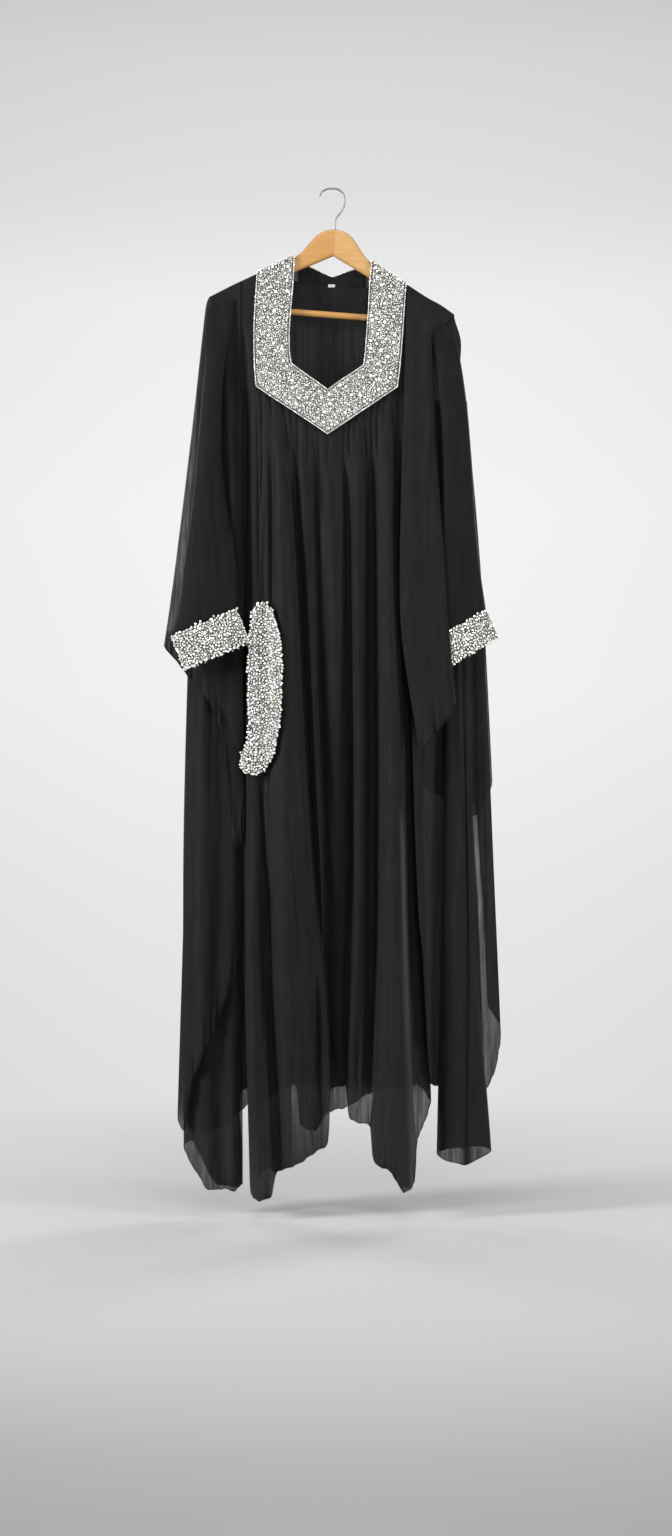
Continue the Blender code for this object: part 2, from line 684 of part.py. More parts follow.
def tube(rings, columns, rows):
    """Grid of points for a flattened tube through rings."""
    table = [list(ring) for ring in rings]
    places = np.linspace(0, len(rings) - 1, rows)
    lines = smooth_curve(np.arange(len(rings)), table, places)
    grid = []
    for x, z, half_width, tilt, out, half_depth in lines:
        lean = math.radians(tilt)
        ring = []
        for j in range(columns):
            turn = 2 * math.pi * j / columns
            along = half_width * math.cos(turn)
            ring.append((
                x + along * math.cos(lean),
                -out + half_depth * math.sin(turn),
                z + along * math.sin(lean),
            ))
        grid.append(ring)
    return np.array(grid)


def build_sleeves(cloth, beads):
    """Sleeves as flattened tubes, and the beaded cuffs at their ends."""
    add_wall("sleeve_left", tube(SLEEVE_LEFT, 16, 13), cloth, closed=True)
    add_wall("sleeve_right", tube(SLEEVE_RIGHT, 16, 14), cloth, closed=True)
    add_wall("cuff_left", tube(CUFF_LEFT, 20, 4), beads, thick=CUFF, closed=True)
    add_wall("cuff_right", tube(CUFF_RIGHT, 20, 4), beads, thick=CUFF, closed=True)


def shoulder_stations(edges, sign, lift):
    """The two first stations of a band, folded over the hanger's arm."""
    lip = SEAM_GAP / 2 + BAND / 2
    xs = np.linspace(edges[0], edges[1], BAND_CELLS + 1)
    over = [(x, -sign * lip, crest(x, lift)) for x in xs]
    below = [(x, -sign * BAND_OUT_TOP, crest(x, lift) - CREST_DROP) for x in xs]
    return [over, below]


def build_neck(beads, cloth, plain):
    """Beaded band round the neck, the facing inside its back and the small label."""
    left = shoulder_stations(SHOULDER_LEFT, 1, BAND_LIFT)
    right = shoulder_stations(SHOULDER_RIGHT, 1, BAND_LIFT)
    across = np.linspace(0, 1, BAND_CELLS + 1)
    middle = []
    for s in NECK_FRONT:
        row = []
        for t in across:
            z = s.outer_z + (s.inner_z - s.outer_z) * t
            row.append((s.outer_x + (s.inner_x - s.outer_x) * t, -band_out(z), z))
        middle.append(row)
    add_wall("neck_band_front", np.array(left + middle + right[::-1]), beads, thick=BAND)

    left = shoulder_stations(SHOULDER_LEFT, -1, BAND_LIFT)
    right = shoulder_stations(SHOULDER_RIGHT, -1, BAND_LIFT)
    middle = []
    for s in NECK_BACK:
        row = []
        for t in across:
            x = s.outer_x + (s.inner_x - s.outer_x) * t
            z = s.outer_z + (s.inner_z - s.outer_z) * t
            lean = BACK_LEAN * np.clip((seam_height(x) - z) / BACK_LEAN_OVER, 0, 1.3)
            row.append((x, back_neck_out(x) + BACK_BAND_OUT + lean, z))
        middle.append(row)
    add_wall("neck_band_back", np.array(left + middle + right[::-1]), beads, thick=BAND)

    inner = [(s.inner_x, s.inner_z) for s in NECK_BACK]
    facing = []
    for x, z in inner:
        seam = seam_height(x) + SEAM_GAP
        facing.append([(x, back_neck_out(x), z + (seam - z) * t) for t in (0, 0.5, 1)])
    add_wall("neck_facing", np.array(facing).transpose(1, 0, 2), cloth)

    bpy.ops.mesh.primitive_cube_add(size=1, location=[v * MM for v in LABEL_AT])
    label = bpy.context.object
    label.name = "label"
    label.scale = [v * MM for v in LABEL_SIZE]
    bpy.ops.object.transform_apply(scale=True)
    label.data.materials.append(plain)


def back_neck_out(x):
    """How far behind the gown's back neck lies at x."""
    return BACK_SIDE_OUT + BACK_MORE_OUT * math.exp(-((x / BACK_WIDE) ** 2))


def build_pocket(front, beads):
    """Beaded crescent at the pocket, made from the gown front's points, moved out."""
    rows, columns = front.shape[:2]
    faces = [
        (i * columns + j, (i + 1) * columns + j, (i + 1) * columns + j + 1, i * columns + j + 1)
        for i in range(SIDE_ROWS + 2, rows - 1)
        for j in range(columns - 1)
    ]
    tree = BVHTree.FromPolygons([Vector(p) for p in front.reshape(-1, 3)], faces)

    def gown_out(x, z):
        hit = tree.ray_cast(Vector((x, -500, z)), Vector((0, 1, 0)))[0]
        return POCKET_MIN_OUT if hit is None else -hit.y

    nearby = [(dx, dz) for dx in (-8, -4, 0, 4, 8) for dz in (-14, 0, 14)]
    grid = []
    for row in POCKET:
        line = []
        for t in np.linspace(0, 1, 6):
            x = row.left + (row.right - row.left) * t
            out = max(gown_out(x + dx, row.z + dz) for dx, dz in nearby)
            line.append((x, -(out + POCKET_CLEAR), row.z))
        grid.append(line)
    add_wall("pocket_band", np.array(grid), beads, thick=BAND)


# Hanger


def hanger_outline():
    """Upper and lower outline of half a hanger, from its middle to its end."""
    slope = math.tan(ARM_SLOPE)
    upper = [(0.15, 0.0), (10, -1.2), (19, -4.2), (30, -12), (40, -24.5), (52, -41),
             (NECK_REACH, NECK_DROP)]
    end_z = NECK_DROP - slope * (ARM_REACH - NECK_REACH)
    upper += [(ARM_REACH - 6, end_z + 6 * slope), (ARM_REACH - 1, end_z - 3)]
    lower = [(ARM_REACH, end_z - 9), (ARM_REACH - 5, end_z - ARM_END_DEEP + 1),
             (ARM_REACH - ARM_END_ROUND, end_z - ARM_END_DEEP)]
    lower += [(WAIST_REACH, waist_low()), (0.15, WAIST_DROP)]
    return upper + lower


def waist_low():
    """Height of the arm's lower edge where its straight part starts."""
    return WAIST_DROP - WAIST_REACH * math.tan(WAIST_SLOPE)


def place_on_hanger(x, z):
    """Turns a point of the level hanger to the way it hangs."""
    cos_r, sin_r = math.cos(ROLL), math.sin(ROLL)
    return (CROWN_X + x * cos_r + z * sin_r, CROWN_Z - x * sin_r + z * cos_r)


def build_hanger(wood, metal):
    """Two wooden halves, the bar between them and the wire hook."""
    for name, side in (("hanger_left", -1), ("hanger_right", 1)):
        outline = [place_on_hanger(side * x, z) for x, z in hanger_outline()]
        shape = bmesh.new()
        ring = [shape.verts.new((x * MM, -ARM_HALF * MM, z * MM)) for x, z in outline]
        face = shape.faces.new(ring)
        moved = bmesh.ops.extrude_face_region(shape, geom=[face])["geom"]
        verts = [v for v in moved if isinstance(v, bmesh.types.BMVert)]
        bmesh.ops.translate(shape, verts=verts, vec=(0, ARM_THICK * MM, 0))
        joint = 1.0 * MM
        rims = [
            e for e in shape.edges
            if abs(e.verts[0].co.y - e.verts[1].co.y) < 1e-6
            and not all(near_joint(v.co, joint) for v in e.verts)
        ]
        bmesh.ops.bevel(shape, geom=rims, offset=ARM_ROUND * MM, segments=2, profile=0.5,
                        affect="EDGES", clamp_overlap=True)
        bmesh.ops.recalc_face_normals(shape, faces=shape.faces[:])
        mesh = bpy.data.meshes.new(name)
        shape.to_mesh(mesh)
        shape.free()
        mesh.shade_smooth()
        mesh.set_sharp_from_angle(angle=math.radians(35))
        mesh.materials.append(wood)
        bpy.context.collection.objects.link(bpy.data.objects.new(name, mesh))

    reach = bar_reach()
    ends = [place_on_hanger(side * reach, BAR_Z) for side in (-1, 1)]
    add_rod("hanger_bar", [(x, 0.0, z) for x, z in ends], BAR_WIDE / 2, wood, BAR_SIDES)
    add_rod("hanger_hook", [(x, 0.0, z) for x, z in hook_points()], WIRE / 2, metal, HOOK_SIDES)


def near_joint(point, reach):
    """True for a point on the flat face where the two halves meet."""
    x, z = point.x / MM - CROWN_X, point.z / MM - CROWN_Z
    level = x * math.cos(ROLL) - z * math.sin(ROLL)
    return abs(level) < reach / MM


def bar_reach():
    """Half the bar's length: its ends stop a seam's gap short of the arms' lower edge."""
    end_z = NECK_DROP - math.tan(ARM_SLOPE) * (ARM_REACH - NECK_REACH) - ARM_END_DEEP
    slope = (waist_low() - end_z) / (ARM_REACH - ARM_END_ROUND - WAIST_REACH)
    lean = math.atan(slope)
    top_of_bar = BAR_Z + BAR_WIDE / 2
    return WAIST_REACH + (waist_low() - top_of_bar - SEAM_GAP / math.cos(lean)) / slope


def hook_points():
    """The wire's middle line: the crook, then straight down to the wood."""
    places = np.linspace(0, len(HOOK_PATH) - 1, HOOK_POINTS)
    curve = [tuple(p) for p in smooth_curve(np.arange(len(HOOK_PATH)), HOOK_PATH, places)]
    return curve + [(CROWN_X, CROWN_Z + SEAM_GAP)]


def add_rod(name, path, radius, material, sides):
    """A round rod along a path in the plane of the hanger, with flat ends."""
    path = np.array(path)
    along = np.gradient(path, axis=0)
    along /= np.linalg.norm(along, axis=1, keepdims=True)
    grid = []
    for point, way in zip(path, along):
        across = np.array([way[2], 0.0, -way[0]])
        grid.append([point + radius * (math.cos(a) * across + math.sin(a) * np.array([0, 1, 0]))
                     for a in (2 * math.pi * (k + 0.5) / sides for k in range(sides))])
    verts = [p for ring in grid for p in ring]
    faces = []
    for i in range(len(grid) - 1):
        for k in range(sides):
            a, b = i * sides + k, i * sides + (k + 1) % sides
            faces.append((a, b, b + sides, a + sides))
    faces.append(tuple(range(sides)))
    faces.append(tuple(range(len(verts) - 1, len(verts) - 1 - sides, -1)))
    return add_mesh(name, verts, faces, material)


def clear_scene():
    """Removes every object of the starting scene."""
    for piece in list(bpy.data.objects):
        bpy.data.objects.remove(piece, do_unlink=True)


def main():
    """Builds the whole jebba on its hanger."""
    clear_scene()
    cloth = make_material("black_chiffon", (0.012, 0.012, 0.014), 0.75)
    beads = make_material("silver_beads", (0.55, 0.55, 0.53), 0.35, 0.4)
    wood = make_material("varnished_wood", (0.72, 0.38, 0.11), 0.4)
    metal = make_material("hook_wire", (0.7, 0.7, 0.7), 0.2, 1.0)
    plain = make_material("label_cloth", (0.8, 0.8, 0.78), 0.8)
    front = build_gown(cloth)
    build_side_panels(cloth)
    build_sleeves(cloth, beads)
    build_neck(beads, cloth, plain)
    build_pocket(front, beads)
    build_hanger(wood, metal)


main()
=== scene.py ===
"""The looks of a long black jebba of sheer cloth, hung on a wooden hanger.

Each cloth piece is made again from the fold table that shapes its solid, finer, with gathers, soft
creases and a rolled hem. Beads are laid one by one over the bands, cuffs and pocket edge.
Tables and sizes are in millimetres and meshes are turned to metres as they are made.
-Y is the front, +X is to the viewer's right and the origin is the inside of the hook's top.
"""
import logging
import math
from dataclasses import dataclass, field
from enum import Enum
from typing import Callable, NamedTuple, Sequence

import bpy
import numpy as np
from mathutils import Matrix, Vector
from mathutils.bvhtree import BVHTree


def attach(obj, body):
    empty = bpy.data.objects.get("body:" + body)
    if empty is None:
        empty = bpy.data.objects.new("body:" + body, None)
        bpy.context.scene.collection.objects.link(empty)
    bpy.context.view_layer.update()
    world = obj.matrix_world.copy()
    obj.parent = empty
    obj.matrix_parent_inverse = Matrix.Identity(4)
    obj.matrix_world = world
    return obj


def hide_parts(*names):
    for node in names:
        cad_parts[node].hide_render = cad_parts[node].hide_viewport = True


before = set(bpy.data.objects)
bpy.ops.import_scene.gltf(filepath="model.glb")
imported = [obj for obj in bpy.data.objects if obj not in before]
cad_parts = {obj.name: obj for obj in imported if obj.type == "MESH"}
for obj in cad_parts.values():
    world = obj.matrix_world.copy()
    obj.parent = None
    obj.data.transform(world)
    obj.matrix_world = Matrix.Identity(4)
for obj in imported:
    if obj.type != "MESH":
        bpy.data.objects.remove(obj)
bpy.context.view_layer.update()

log = logging.getLogger("jebba")
MM = 0.001
Grid = np.ndarray
Piece = bpy.types.Object
Material = bpy.types.Material
Socket = bpy.types.NodeSocket
Tree = bpy.types.NodeTree
Triple = tuple[float, float, float]

TINY = 1e-9
# The range of a random angle
FULL_TURN = 6.28

# Finer than the solids: thickness of the cloth's and the bands' shells, and rows down to the yoke
SHELL, BAND_SHELL = 0.7, 1.6
FINE_SIDE_ROWS = 14

# Rolled hem: its radius, its share of that at the ends, and when its path counts as upright
HEM_RADIUS, ROLL_TIP, UPRIGHT = 0.75, 0.15, 0.2

# Waves of a hem: length and height of each, how far up they reach, their share upwards and shift
HEM_WAVES = ((13, 0.35), (26, 0.6), (59, 0.5))
RIPPLE_REACH, HEM_LIFT, HEM_SHIFT = 34.0, 0.5, 5

# How softly creases and long folds fade to their ends
CREASE_EASE, LINE_EASE = 0.6, 0.5

# How a wing's corner is rounded: how fast each change fades, and where it lies
PULL_FADE, PUSH_RAMP = 6.0, 30.0
LIFT_AT, LIFT_WIDE, LIFT_FADE = 178.0, 17.0, 12.0


class Fold(NamedTuple):
    """One fold line: where it lies across and how far in front, at four heights, and its hem."""

    name: str
    x_top: float
    x_upper: float
    x_lower: float
    x_hem: float
    out_top: float
    out_upper: float
    out_lower: float
    out_hem: float
    hem_z: float


class Ring(NamedTuple):
    """One ring of a flattened tube: centre, half its flat width, tilt in degrees, depths."""

    x: float
    z: float
    half_width: float
    tilt: float
    out: float
    half_depth: float


class Station(NamedTuple):
    """One place along a neck band: its outer and inner edge."""

    outer_x: float
    outer_z: float
    inner_x: float
    inner_z: float


class PocketRow(NamedTuple):
    """One height of the pocket edge, with its left and right border."""

    z: float
    left: float
    right: float


class Crease(NamedTuple):
    """A soft ridge, or a trough where out is below zero, from a start to an end."""

    x_start: float
    z_start: float
    x_end: float
    z_end: float
    out: float
    width: float


class Shoulder(NamedTuple):
    """How a wing's corner is rounded: pulled in and lifted at the top, pushed out lower down."""

    pivot_x: float
    pull: float
    lift: float
    push: float
    push_down: float
    push_reach: float


class FoldLine(NamedTuple):
    """A long soft fold: how far out it rises, its width, the cloth's distance and its places.

    The distance is in front of the mount, and the places are across and down the picture's frame.
    """

    rise: float
    width: float
    out: float
    places: Sequence[tuple[float, float]]


def table(kind: type, *rows: tuple) -> list:
    """Rows of values, each with its named columns."""
    return [kind(*row) for row in rows]


# Cloth and seams
CLOTH = 1.2
BAND = 2.0
SEAM_GAP = 0.3

# Hanger: a 40 cm wooden hanger that hangs a little lower on the right
ARM_THICK = 12.0
ARM_HALF = ARM_THICK / 2
ARM_SLOPE = math.radians(29.1)
ROLL = math.radians(4.3)
CROWN_X, CROWN_Z = 2.6, -66.2
NECK_REACH, NECK_DROP = 63.5, -51.5
WIRE = 3.2

# Where the cloth lies on the arms
FIRST_OUT = ARM_HALF + SEAM_GAP + CLOTH / 2
CREST_LIFT = 2.1
CREST_DROP = 4.0
WING_LIFT = 1.9
BAND_LIFT = 2.6
LIP = (CLOTH + SEAM_GAP) / 2

# Neck band: distance in front, growing below the shoulder
BAND_OUT_TOP = FIRST_OUT + CLOTH / 2 + SEAM_GAP + BAND / 2
BAND_OUT_LOW = 38.0
BAND_TOP_Z, BAND_LOW_Z = -150.0, -408.0
BAND_TUCK = 8.0
YOKE_Z = -326.0
UNDER_YOKE, UNDER_EDGE = 1.6, 0.4

# Back neck: depth at the sides, more in the middle, and how wide that is
BACK_SIDE_OUT, BACK_MORE_OUT, BACK_WIDE = 7.2, 8.0, 62.0
BACK_SIDE_DEEP = 28.0
BACK_LEAN, BACK_LEAN_OVER, BACK_LEAN_MOST = 2.5, 50.0, 1.3
BACK_BAND_CLEAR = 0.2
BACK_BAND_OUT = BAND / 2 + SEAM_GAP + CLOTH / 2 + BACK_BAND_CLEAR

# Below this height the gown's front and back meet at the sides
ARMHOLE_Z = -245.0

# Heights at which the fold tables are given
BUST_Z, ELBOW_Z, KNEE_Z = -513.0, -744.0, -1172.0
WING_LEFT_UPPER_Z, WING_FRONT_UPPER_Z, WING_BACK_UPPER_Z = -415.0, -250.0, -415.0
WING_LOWER_Z, WING_BACK_LOWER_Z = -678.0, -711.0

# Heights at which the side pieces start
GORE_LEFT_TOP, OVER_LEFT_TOP, OVER_RIGHT_TOP, GORE_RIGHT_TOP = -349.0, -316.0, -349.0, -382.0

# Gown front, left side seam to right side seam.
# name, x at top, bust, knee and hem, distance in front at the same heights, height of the hem
GOWN_FRONT = table(Fold,
    ("left side seam", -155, -154, -149, -138, 12, 12, 8, 12, -1640),
    ("left recess", -143, -143, -142, -134, 17, 18, 32, 46, -1650),
    ("column one crown", -126, -127, -133, -122, 22, 34, 56, 78, -1655),
    ("column one inner", -114, -113, -116, -103, 25, 33, 44, 60, -1652),
    ("notch", -105, -103, -107, -93, 27, 35, 44, 42, -1614),
    ("fold a", -93, -89, -76, -68, 27, 46, 66, 70, -1602),
    ("fold a inner", -77, -72, -49, -45, 27, 36, 50, 55, -1590),
    ("valley a", -67, -62, -31, -27, 27, 28, 28, 42, -1580),
    ("ridge b", -49, -47, -21, -10, 30, 42, 36, 56, -1563),
    ("centre left", -29, -27, -12, -5, 33, 31, 18, 15, -1484),
    ("centre", -8, -5, 7, 7, 34, 44, 26, 11, -1478),
    ("centre right", 18, 22, 30, 19, 31, 32, 22, 14, -1476),
    ("ridge c", 38, 40, 40, 26, 29, 44, 46, 42, -1525),
    ("lobe c", 50, 51, 51, 44, 28, 33, 40, 48, -1534),
    ("valley c", 59, 61, 61, 59, 27, 26, 24, 30, -1539),
    ("column two left", 72, 76, 79, 65, 27, 40, 50, 62, -1592),
    ("column two crown", 86, 87, 96, 91, 26, 48, 66, 80, -1608),
    ("column two inner", 97, 98, 111, 115, 25, 38, 56, 84, -1640),
    ("column two edge", 107, 108, 118, 130, 22, 30, 38, 60, -1631),
    ("right valley", 117, 117, 123, 137, 20, 34, 22, 30, -1564),
    ("right lobe", 127, 127, 133, 151, 16, 22, 16, 24, -1530),
    ("right side seam", 142, 139, 149, 160, 12, 9, 8, 10, -1501),
)
FRONT_LEFT_EDGE, FRONT_RIGHT_EDGE = 3, 17

# Gown back, in the same order; a distance in front below zero lies behind
GOWN_BACK = table(Fold,
    GOWN_FRONT[0],
    ("left turn", -145, -144, -138, -126, -7, -12, -14, -14, -1537),
    ("ridge one", -129, -123, -120, -110, -7, -26, -36, -40, -1501),
    ("valley one", -112, -103, -96, -83, -8, -22, -26, -28, -1486),
    ("ridge two", -92, -83, -73, -63, -9, -34, -46, -52, -1482),
    ("valley two", -72, -66, -60, -56, -12, -28, -34, -38, -1544),
    ("ridge three", -53, -46, -36, -33, -14, -36, -48, -54, -1561),
    ("valley three", -29, -26, -20, -13, -15, -28, -34, -36, -1529),
    ("ridge four", -3, -3, 7, 7, -15, -36, -48, -52, -1524),
    ("valley four", 20, 20, 27, 30, -15, -28, -36, -38, -1514),
    ("ridge five", 43, 44, 54, 60, -14, -36, -48, -52, -1497),
    ("valley five", 66, 70, 77, 84, -12, -28, -34, -36, -1489),
    ("ridge six", 90, 97, 104, 114, -9, -34, -42, -44, -1485),
    ("right turn", 109, 120, 126, 140, -8, -18, -20, -20, -1480),
    GOWN_FRONT[-1],
)
BACK_LEFT_EDGE, BACK_RIGHT_EDGE = 3, 13

# Long left gore: from its front edge round the outline to its back edge
GORE_LEFT = table(Fold,
    ("front inner", -160, -158, -152, -150, 4, 4, 4, 6, -1638),
    ("front ridge", -174, -173, -169, -166, 5, 6, 9, 16, -1650),
    ("front valley", -194, -194, -191, -184, 4, 5, 6, 10, -1646),
    ("corner", -211, -212, -212, -203, 4, 6, 9, 16, -1648),
    ("front outer", -219, -227, -232, -225, 2, 3, 5, 8, -1622),
    ("outline", -223, -240, -249, -248, -4, -7, -8, -8, -1579),
    ("back outer", -216, -228, -235, -239, -10, -14, -22, -22, -1572),
    ("back ridge", -198, -202, -209, -213, -11, -17, -32, -34, -1560),
    ("back valley", -175, -179, -179, -182, -11, -16, -26, -28, -1548),
    ("back inner", -160, -159, -144, -132, -11, -17, -30, -32, -1502),
)

# Front layer over the left gore, with a slanting hem
OVER_LEFT = table(Fold,
    ("inner edge", -161, -154, -149, -149, 9, 16, 18, 16, -1245),
    ("inner ridge", -171, -169, -165, -169, 9, 18, 25, 24, -1307),
    ("valley", -187, -189, -187, -192, 9, 15, 18, 18, -1375),
    ("outer ridge", -200, -210, -210, -215, 8, 17, 24, 24, -1427),
    ("outer slope", -207, -223, -226, -233, 7.2, 13, 16, 16, -1474),
    ("outer lobe", -210, -229, -238, -246, 6.2, 10, 12, 12, -1550),
    ("outer edge", -212, -234, -246, -257, 5.4, 7, 8, 8, -1536),
)

# Left wing: from its front edge round the outline to its back edge, with corner points at the hem
WING_LEFT = table(Fold,
    ("front inner", -153.5, -153.4, -149, -147, 8.6, 18, 24, 26, -1053),
    ("front tip", -166, -169, -164, -160, 6.9, 15, 26, 28, -1094),
    ("front valley", -178, -185, -183, -183, 6.9, 14, 23, 26, -900),
    ("front ridge", -189, -204, -206, -210, 6.9, 14, 24, 26, -838),
    ("front outer", -199, -222, -236, -241, 6.9, 11, 18, 20, -799),
    ("front turn", -205, -232, -260, -270, 6.9, 7, 10, 11, -765),
    ("outline", -210, -236, -269, -280, 0, 0, 0, 0, -753),
    ("back turn", -205, -233, -261, -269, -6.9, -8, -10, -10, -768),
    ("back outer", -199, -222, -238, -242, -6.9, -14, -21, -22, -802),
    ("back ridge", -190, -205, -209, -209, -6.9, -18, -28, -32, -941),
    ("back tip", -175, -182, -176, -173, -6.9, -18, -26, -30, -1058),
    ("back inner", -156, -155.6, -150, -146, -6.9, -21, -30, -34, -1008),
)

# Front layer on the right, behind the right gore, with a slanting hem
OVER_RIGHT = table(Fold,
    ("inner edge", 127, 126, 137, 147, 20.5, 34, 38, 36, -1266),
    ("tip", 133, 133, 144, 153, 19, 32, 34, 32, -1405),
    ("recess", 152, 155, 159, 161, 10, 12, 18, 22, -1474),
    ("inner slope", 172, 177, 185, 192, 3, 2, 0, 0, -1480),
    ("middle", 192, 202, 212, 218, -1, -1, -2, -3, -1486),
    ("outer slope", 208, 223, 238, 245, -4, -3, -4, -4, -1487),
    ("outer turn", 215, 237, 256, 263, -5, -5, -6, -6, -1463),
    ("outer edge", 220, 247, 266, 276, -6, -8, -9, -9, -1404),
)

# Right gore: a long fold that closes into a tube
GORE_RIGHT = table(Fold,
    ("left edge", 181, 184, 178, 169, 9, 9, 20, 24, -1586),
    ("front left", 190, 193, 193, 183, 13, 14, 34, 44, -1595),
    ("front crown", 199, 203, 208, 203, 14, 15, 38, 50, -1599),
    ("front fold", 204, 209, 216, 214, 12, 13, 32, 42, -1603),
    ("front right", 209, 216, 221, 234, 13, 14, 34, 46, -1593),
    ("right edge", 214, 224, 230, 258, 9, 9, 20, 28, -1581),
    ("back right", 205, 215, 218, 237, 5, 5, 8, 8, -1577),
    ("back left", 192, 195, 194, 193, 5, 5, 8, 8, -1580),
)

# Right wing: the half in front of the sleeve and the half behind it
WING_RIGHT_FRONT = table(Fold,
    ("left edge", 121, 118, 108, 141, 11.4, 24, 56, 58, -940),
    ("left ridge", 139, 129, 132, 151, 11.4, 26, 62, 64, -917),
    ("valley", 157, 139, 152, 163, 11.4, 24, 56, 58, -901),
    ("right ridge", 176, 152, 166, 181, 11.4, 25, 58, 60, -880),
    ("right edge", 195, 164, 184, 199, 11.4, 10, 50, 52, -850),
)
WING_RIGHT_BACK = table(Fold,
    ("inner edge", 123, 123, 127, 130, -8.4, -24, -34, -38, -958),
    ("inner ridge", 139, 143, 150, 157, -8.4, -26, -38, -42, -991),
    ("valley", 156, 166, 176, 187, -8.4, -20, -28, -32, -1008),
    ("outer ridge", 172, 189, 203, 217, -8.4, -22, -32, -36, -1038),
    ("outer slope", 185, 209, 229, 234, -8.4, -14, -20, -22, -1032),
    ("outer edge", 197, 224, 248, 262, -8.4, -9, -12, -13, -983),
)

# Sleeves as rings: centre, half the flat width, tilt in degrees, distance in front, half the depth
SLEEVE_LEFT = table(Ring,
    (-184, -191, 23, 24, 9.9, 0.8),
    (-189, -226, 22.2, 16, 15, 3.5),
    (-196, -302, 15.6, 6, 26, 10),
    (-202, -385, 17.2, 3, 33, 14),
    (-205, -461, 20.4, 2, 38, 15),
    (-205, -549, 29.4, 4, 42, 15),
    (-205, -615, 39.2, 8, 44, 15),
    (-205, -667, 47.3, 15, 46, 15),
    (-212, -717, 55.8, 22.9, 47, 14),
)
CUFF_LEFT = table(Ring,
    (-212, -718, 55.8, 22.9, 47, 14),
    (-201, -745, 55.8, 22.9, 47, 14),
    (-191, -771, 55.5, 22.9, 47, 14),
)
SLEEVE_RIGHT = table(Ring,
    (174, -212, 22, -32, 8.0, 0.8),
    (178, -238, 23, -24, 12, 3.5),
    (189, -300, 22, -8, 20, 9),
    (199, -401, 22.9, 0, 30, 13),
    (203, -500, 25.4, 4, 34, 14),
    (202, -590, 32.7, 10, 35, 14),
    (200, -663, 44.2, 20, 35, 14),
    (200, -724, 56, 30, 35, 13),
)
CUFF_RIGHT = table(Ring,
    (200, -725, 56, 30, 35, 13),
    (210, -747, 56, 30, 35, 13),
    (220, -769, 55.6, 30, 35, 13),
)

# Neck band, front: outer x and z, inner x and z, from below the left shoulder to the right one
NECK_FRONT = table(Station,
    (-129, -185, -67.5, -160),
    (-131, -225, -71, -202),
    (-131, -265, -73.5, -240),
    (-130, -300, -73, -270),
    (-127, -329, -70, -291),
    (-98, -349, -50, -306),
    (-54, -378, -30, -320),
    (-10, -408, -10, -335),
    (28, -382, 10, -320),
    (66, -356, 30, -307),
    (104, -330, 49, -294),
    (108, -300, 52, -272),
    (111, -268, 54, -240),
    (114, -227, 57, -202),
    (116.5, -190, 59, -160),
)
NECK_BACK = table(Station,
    (-118, -162, -58, -120),
    (-95, -185, -37, -127),
    (-50, -203, -20, -135),
    (-2, -209, -2, -142),
    (45, -205, 15, -136),
    (88, -188, 34, -130),
    (111, -170, 52, -126),
)
SHOULDER_LEFT = (-126.0, -65.0)
SHOULDER_RIGHT = (118.5, 62.5)
# Seam between the facing inside the back neck and the gown's back
SEAM_LEFT, SEAM_RIGHT = (-64.0, -149.0), (58.0, -160.0)

# Beaded pocket band: height, left edge, right edge
POCKET = table(PocketRow,
    (-685, -124, -110),
    (-698, -133, -100),
    (-723, -136, -92),
    (-751, -138, -86),
    (-791, -139, -84),
    (-832, -140, -85),
    (-866, -139, -86),
    (-891, -138, -89),
    (-914, -142, -94),
    (-935, -150, -99),
    (-948, -151, -106),
    (-958, -147, -113),
    (-965, -136, -123),
)
POCKET_CLEAR = 2.4
POCKET_MIN_OUT = 34.0
# Where the gown is felt for under the pocket, from how far in front, across and up
FEEL_FROM, FEEL_ACROSS, FEEL_UP = -500, (-8, -4, 0, 4, 8), (-14, 0, 14)

LABEL_SIZE = (11.5, 0.6, 5.0)
LABEL_AT = (-3.8, 14.0, -156.4)
LABEL_BEVEL = 0.25

# Hook: points along the wire's middle, across and up
HOOK_PATH = [
    (-23.4, -10.7), (-18.6, -3.2), (-9.6, 0.9), (0.0, 1.6), (8.6, -0.7), (16.0, -8.2),
    (18.5, -20.1), (16.6, -29.5), (12.2, -37.5), (6.9, -43.7), (3.6, -49.5), (2.6, -56.5),
]


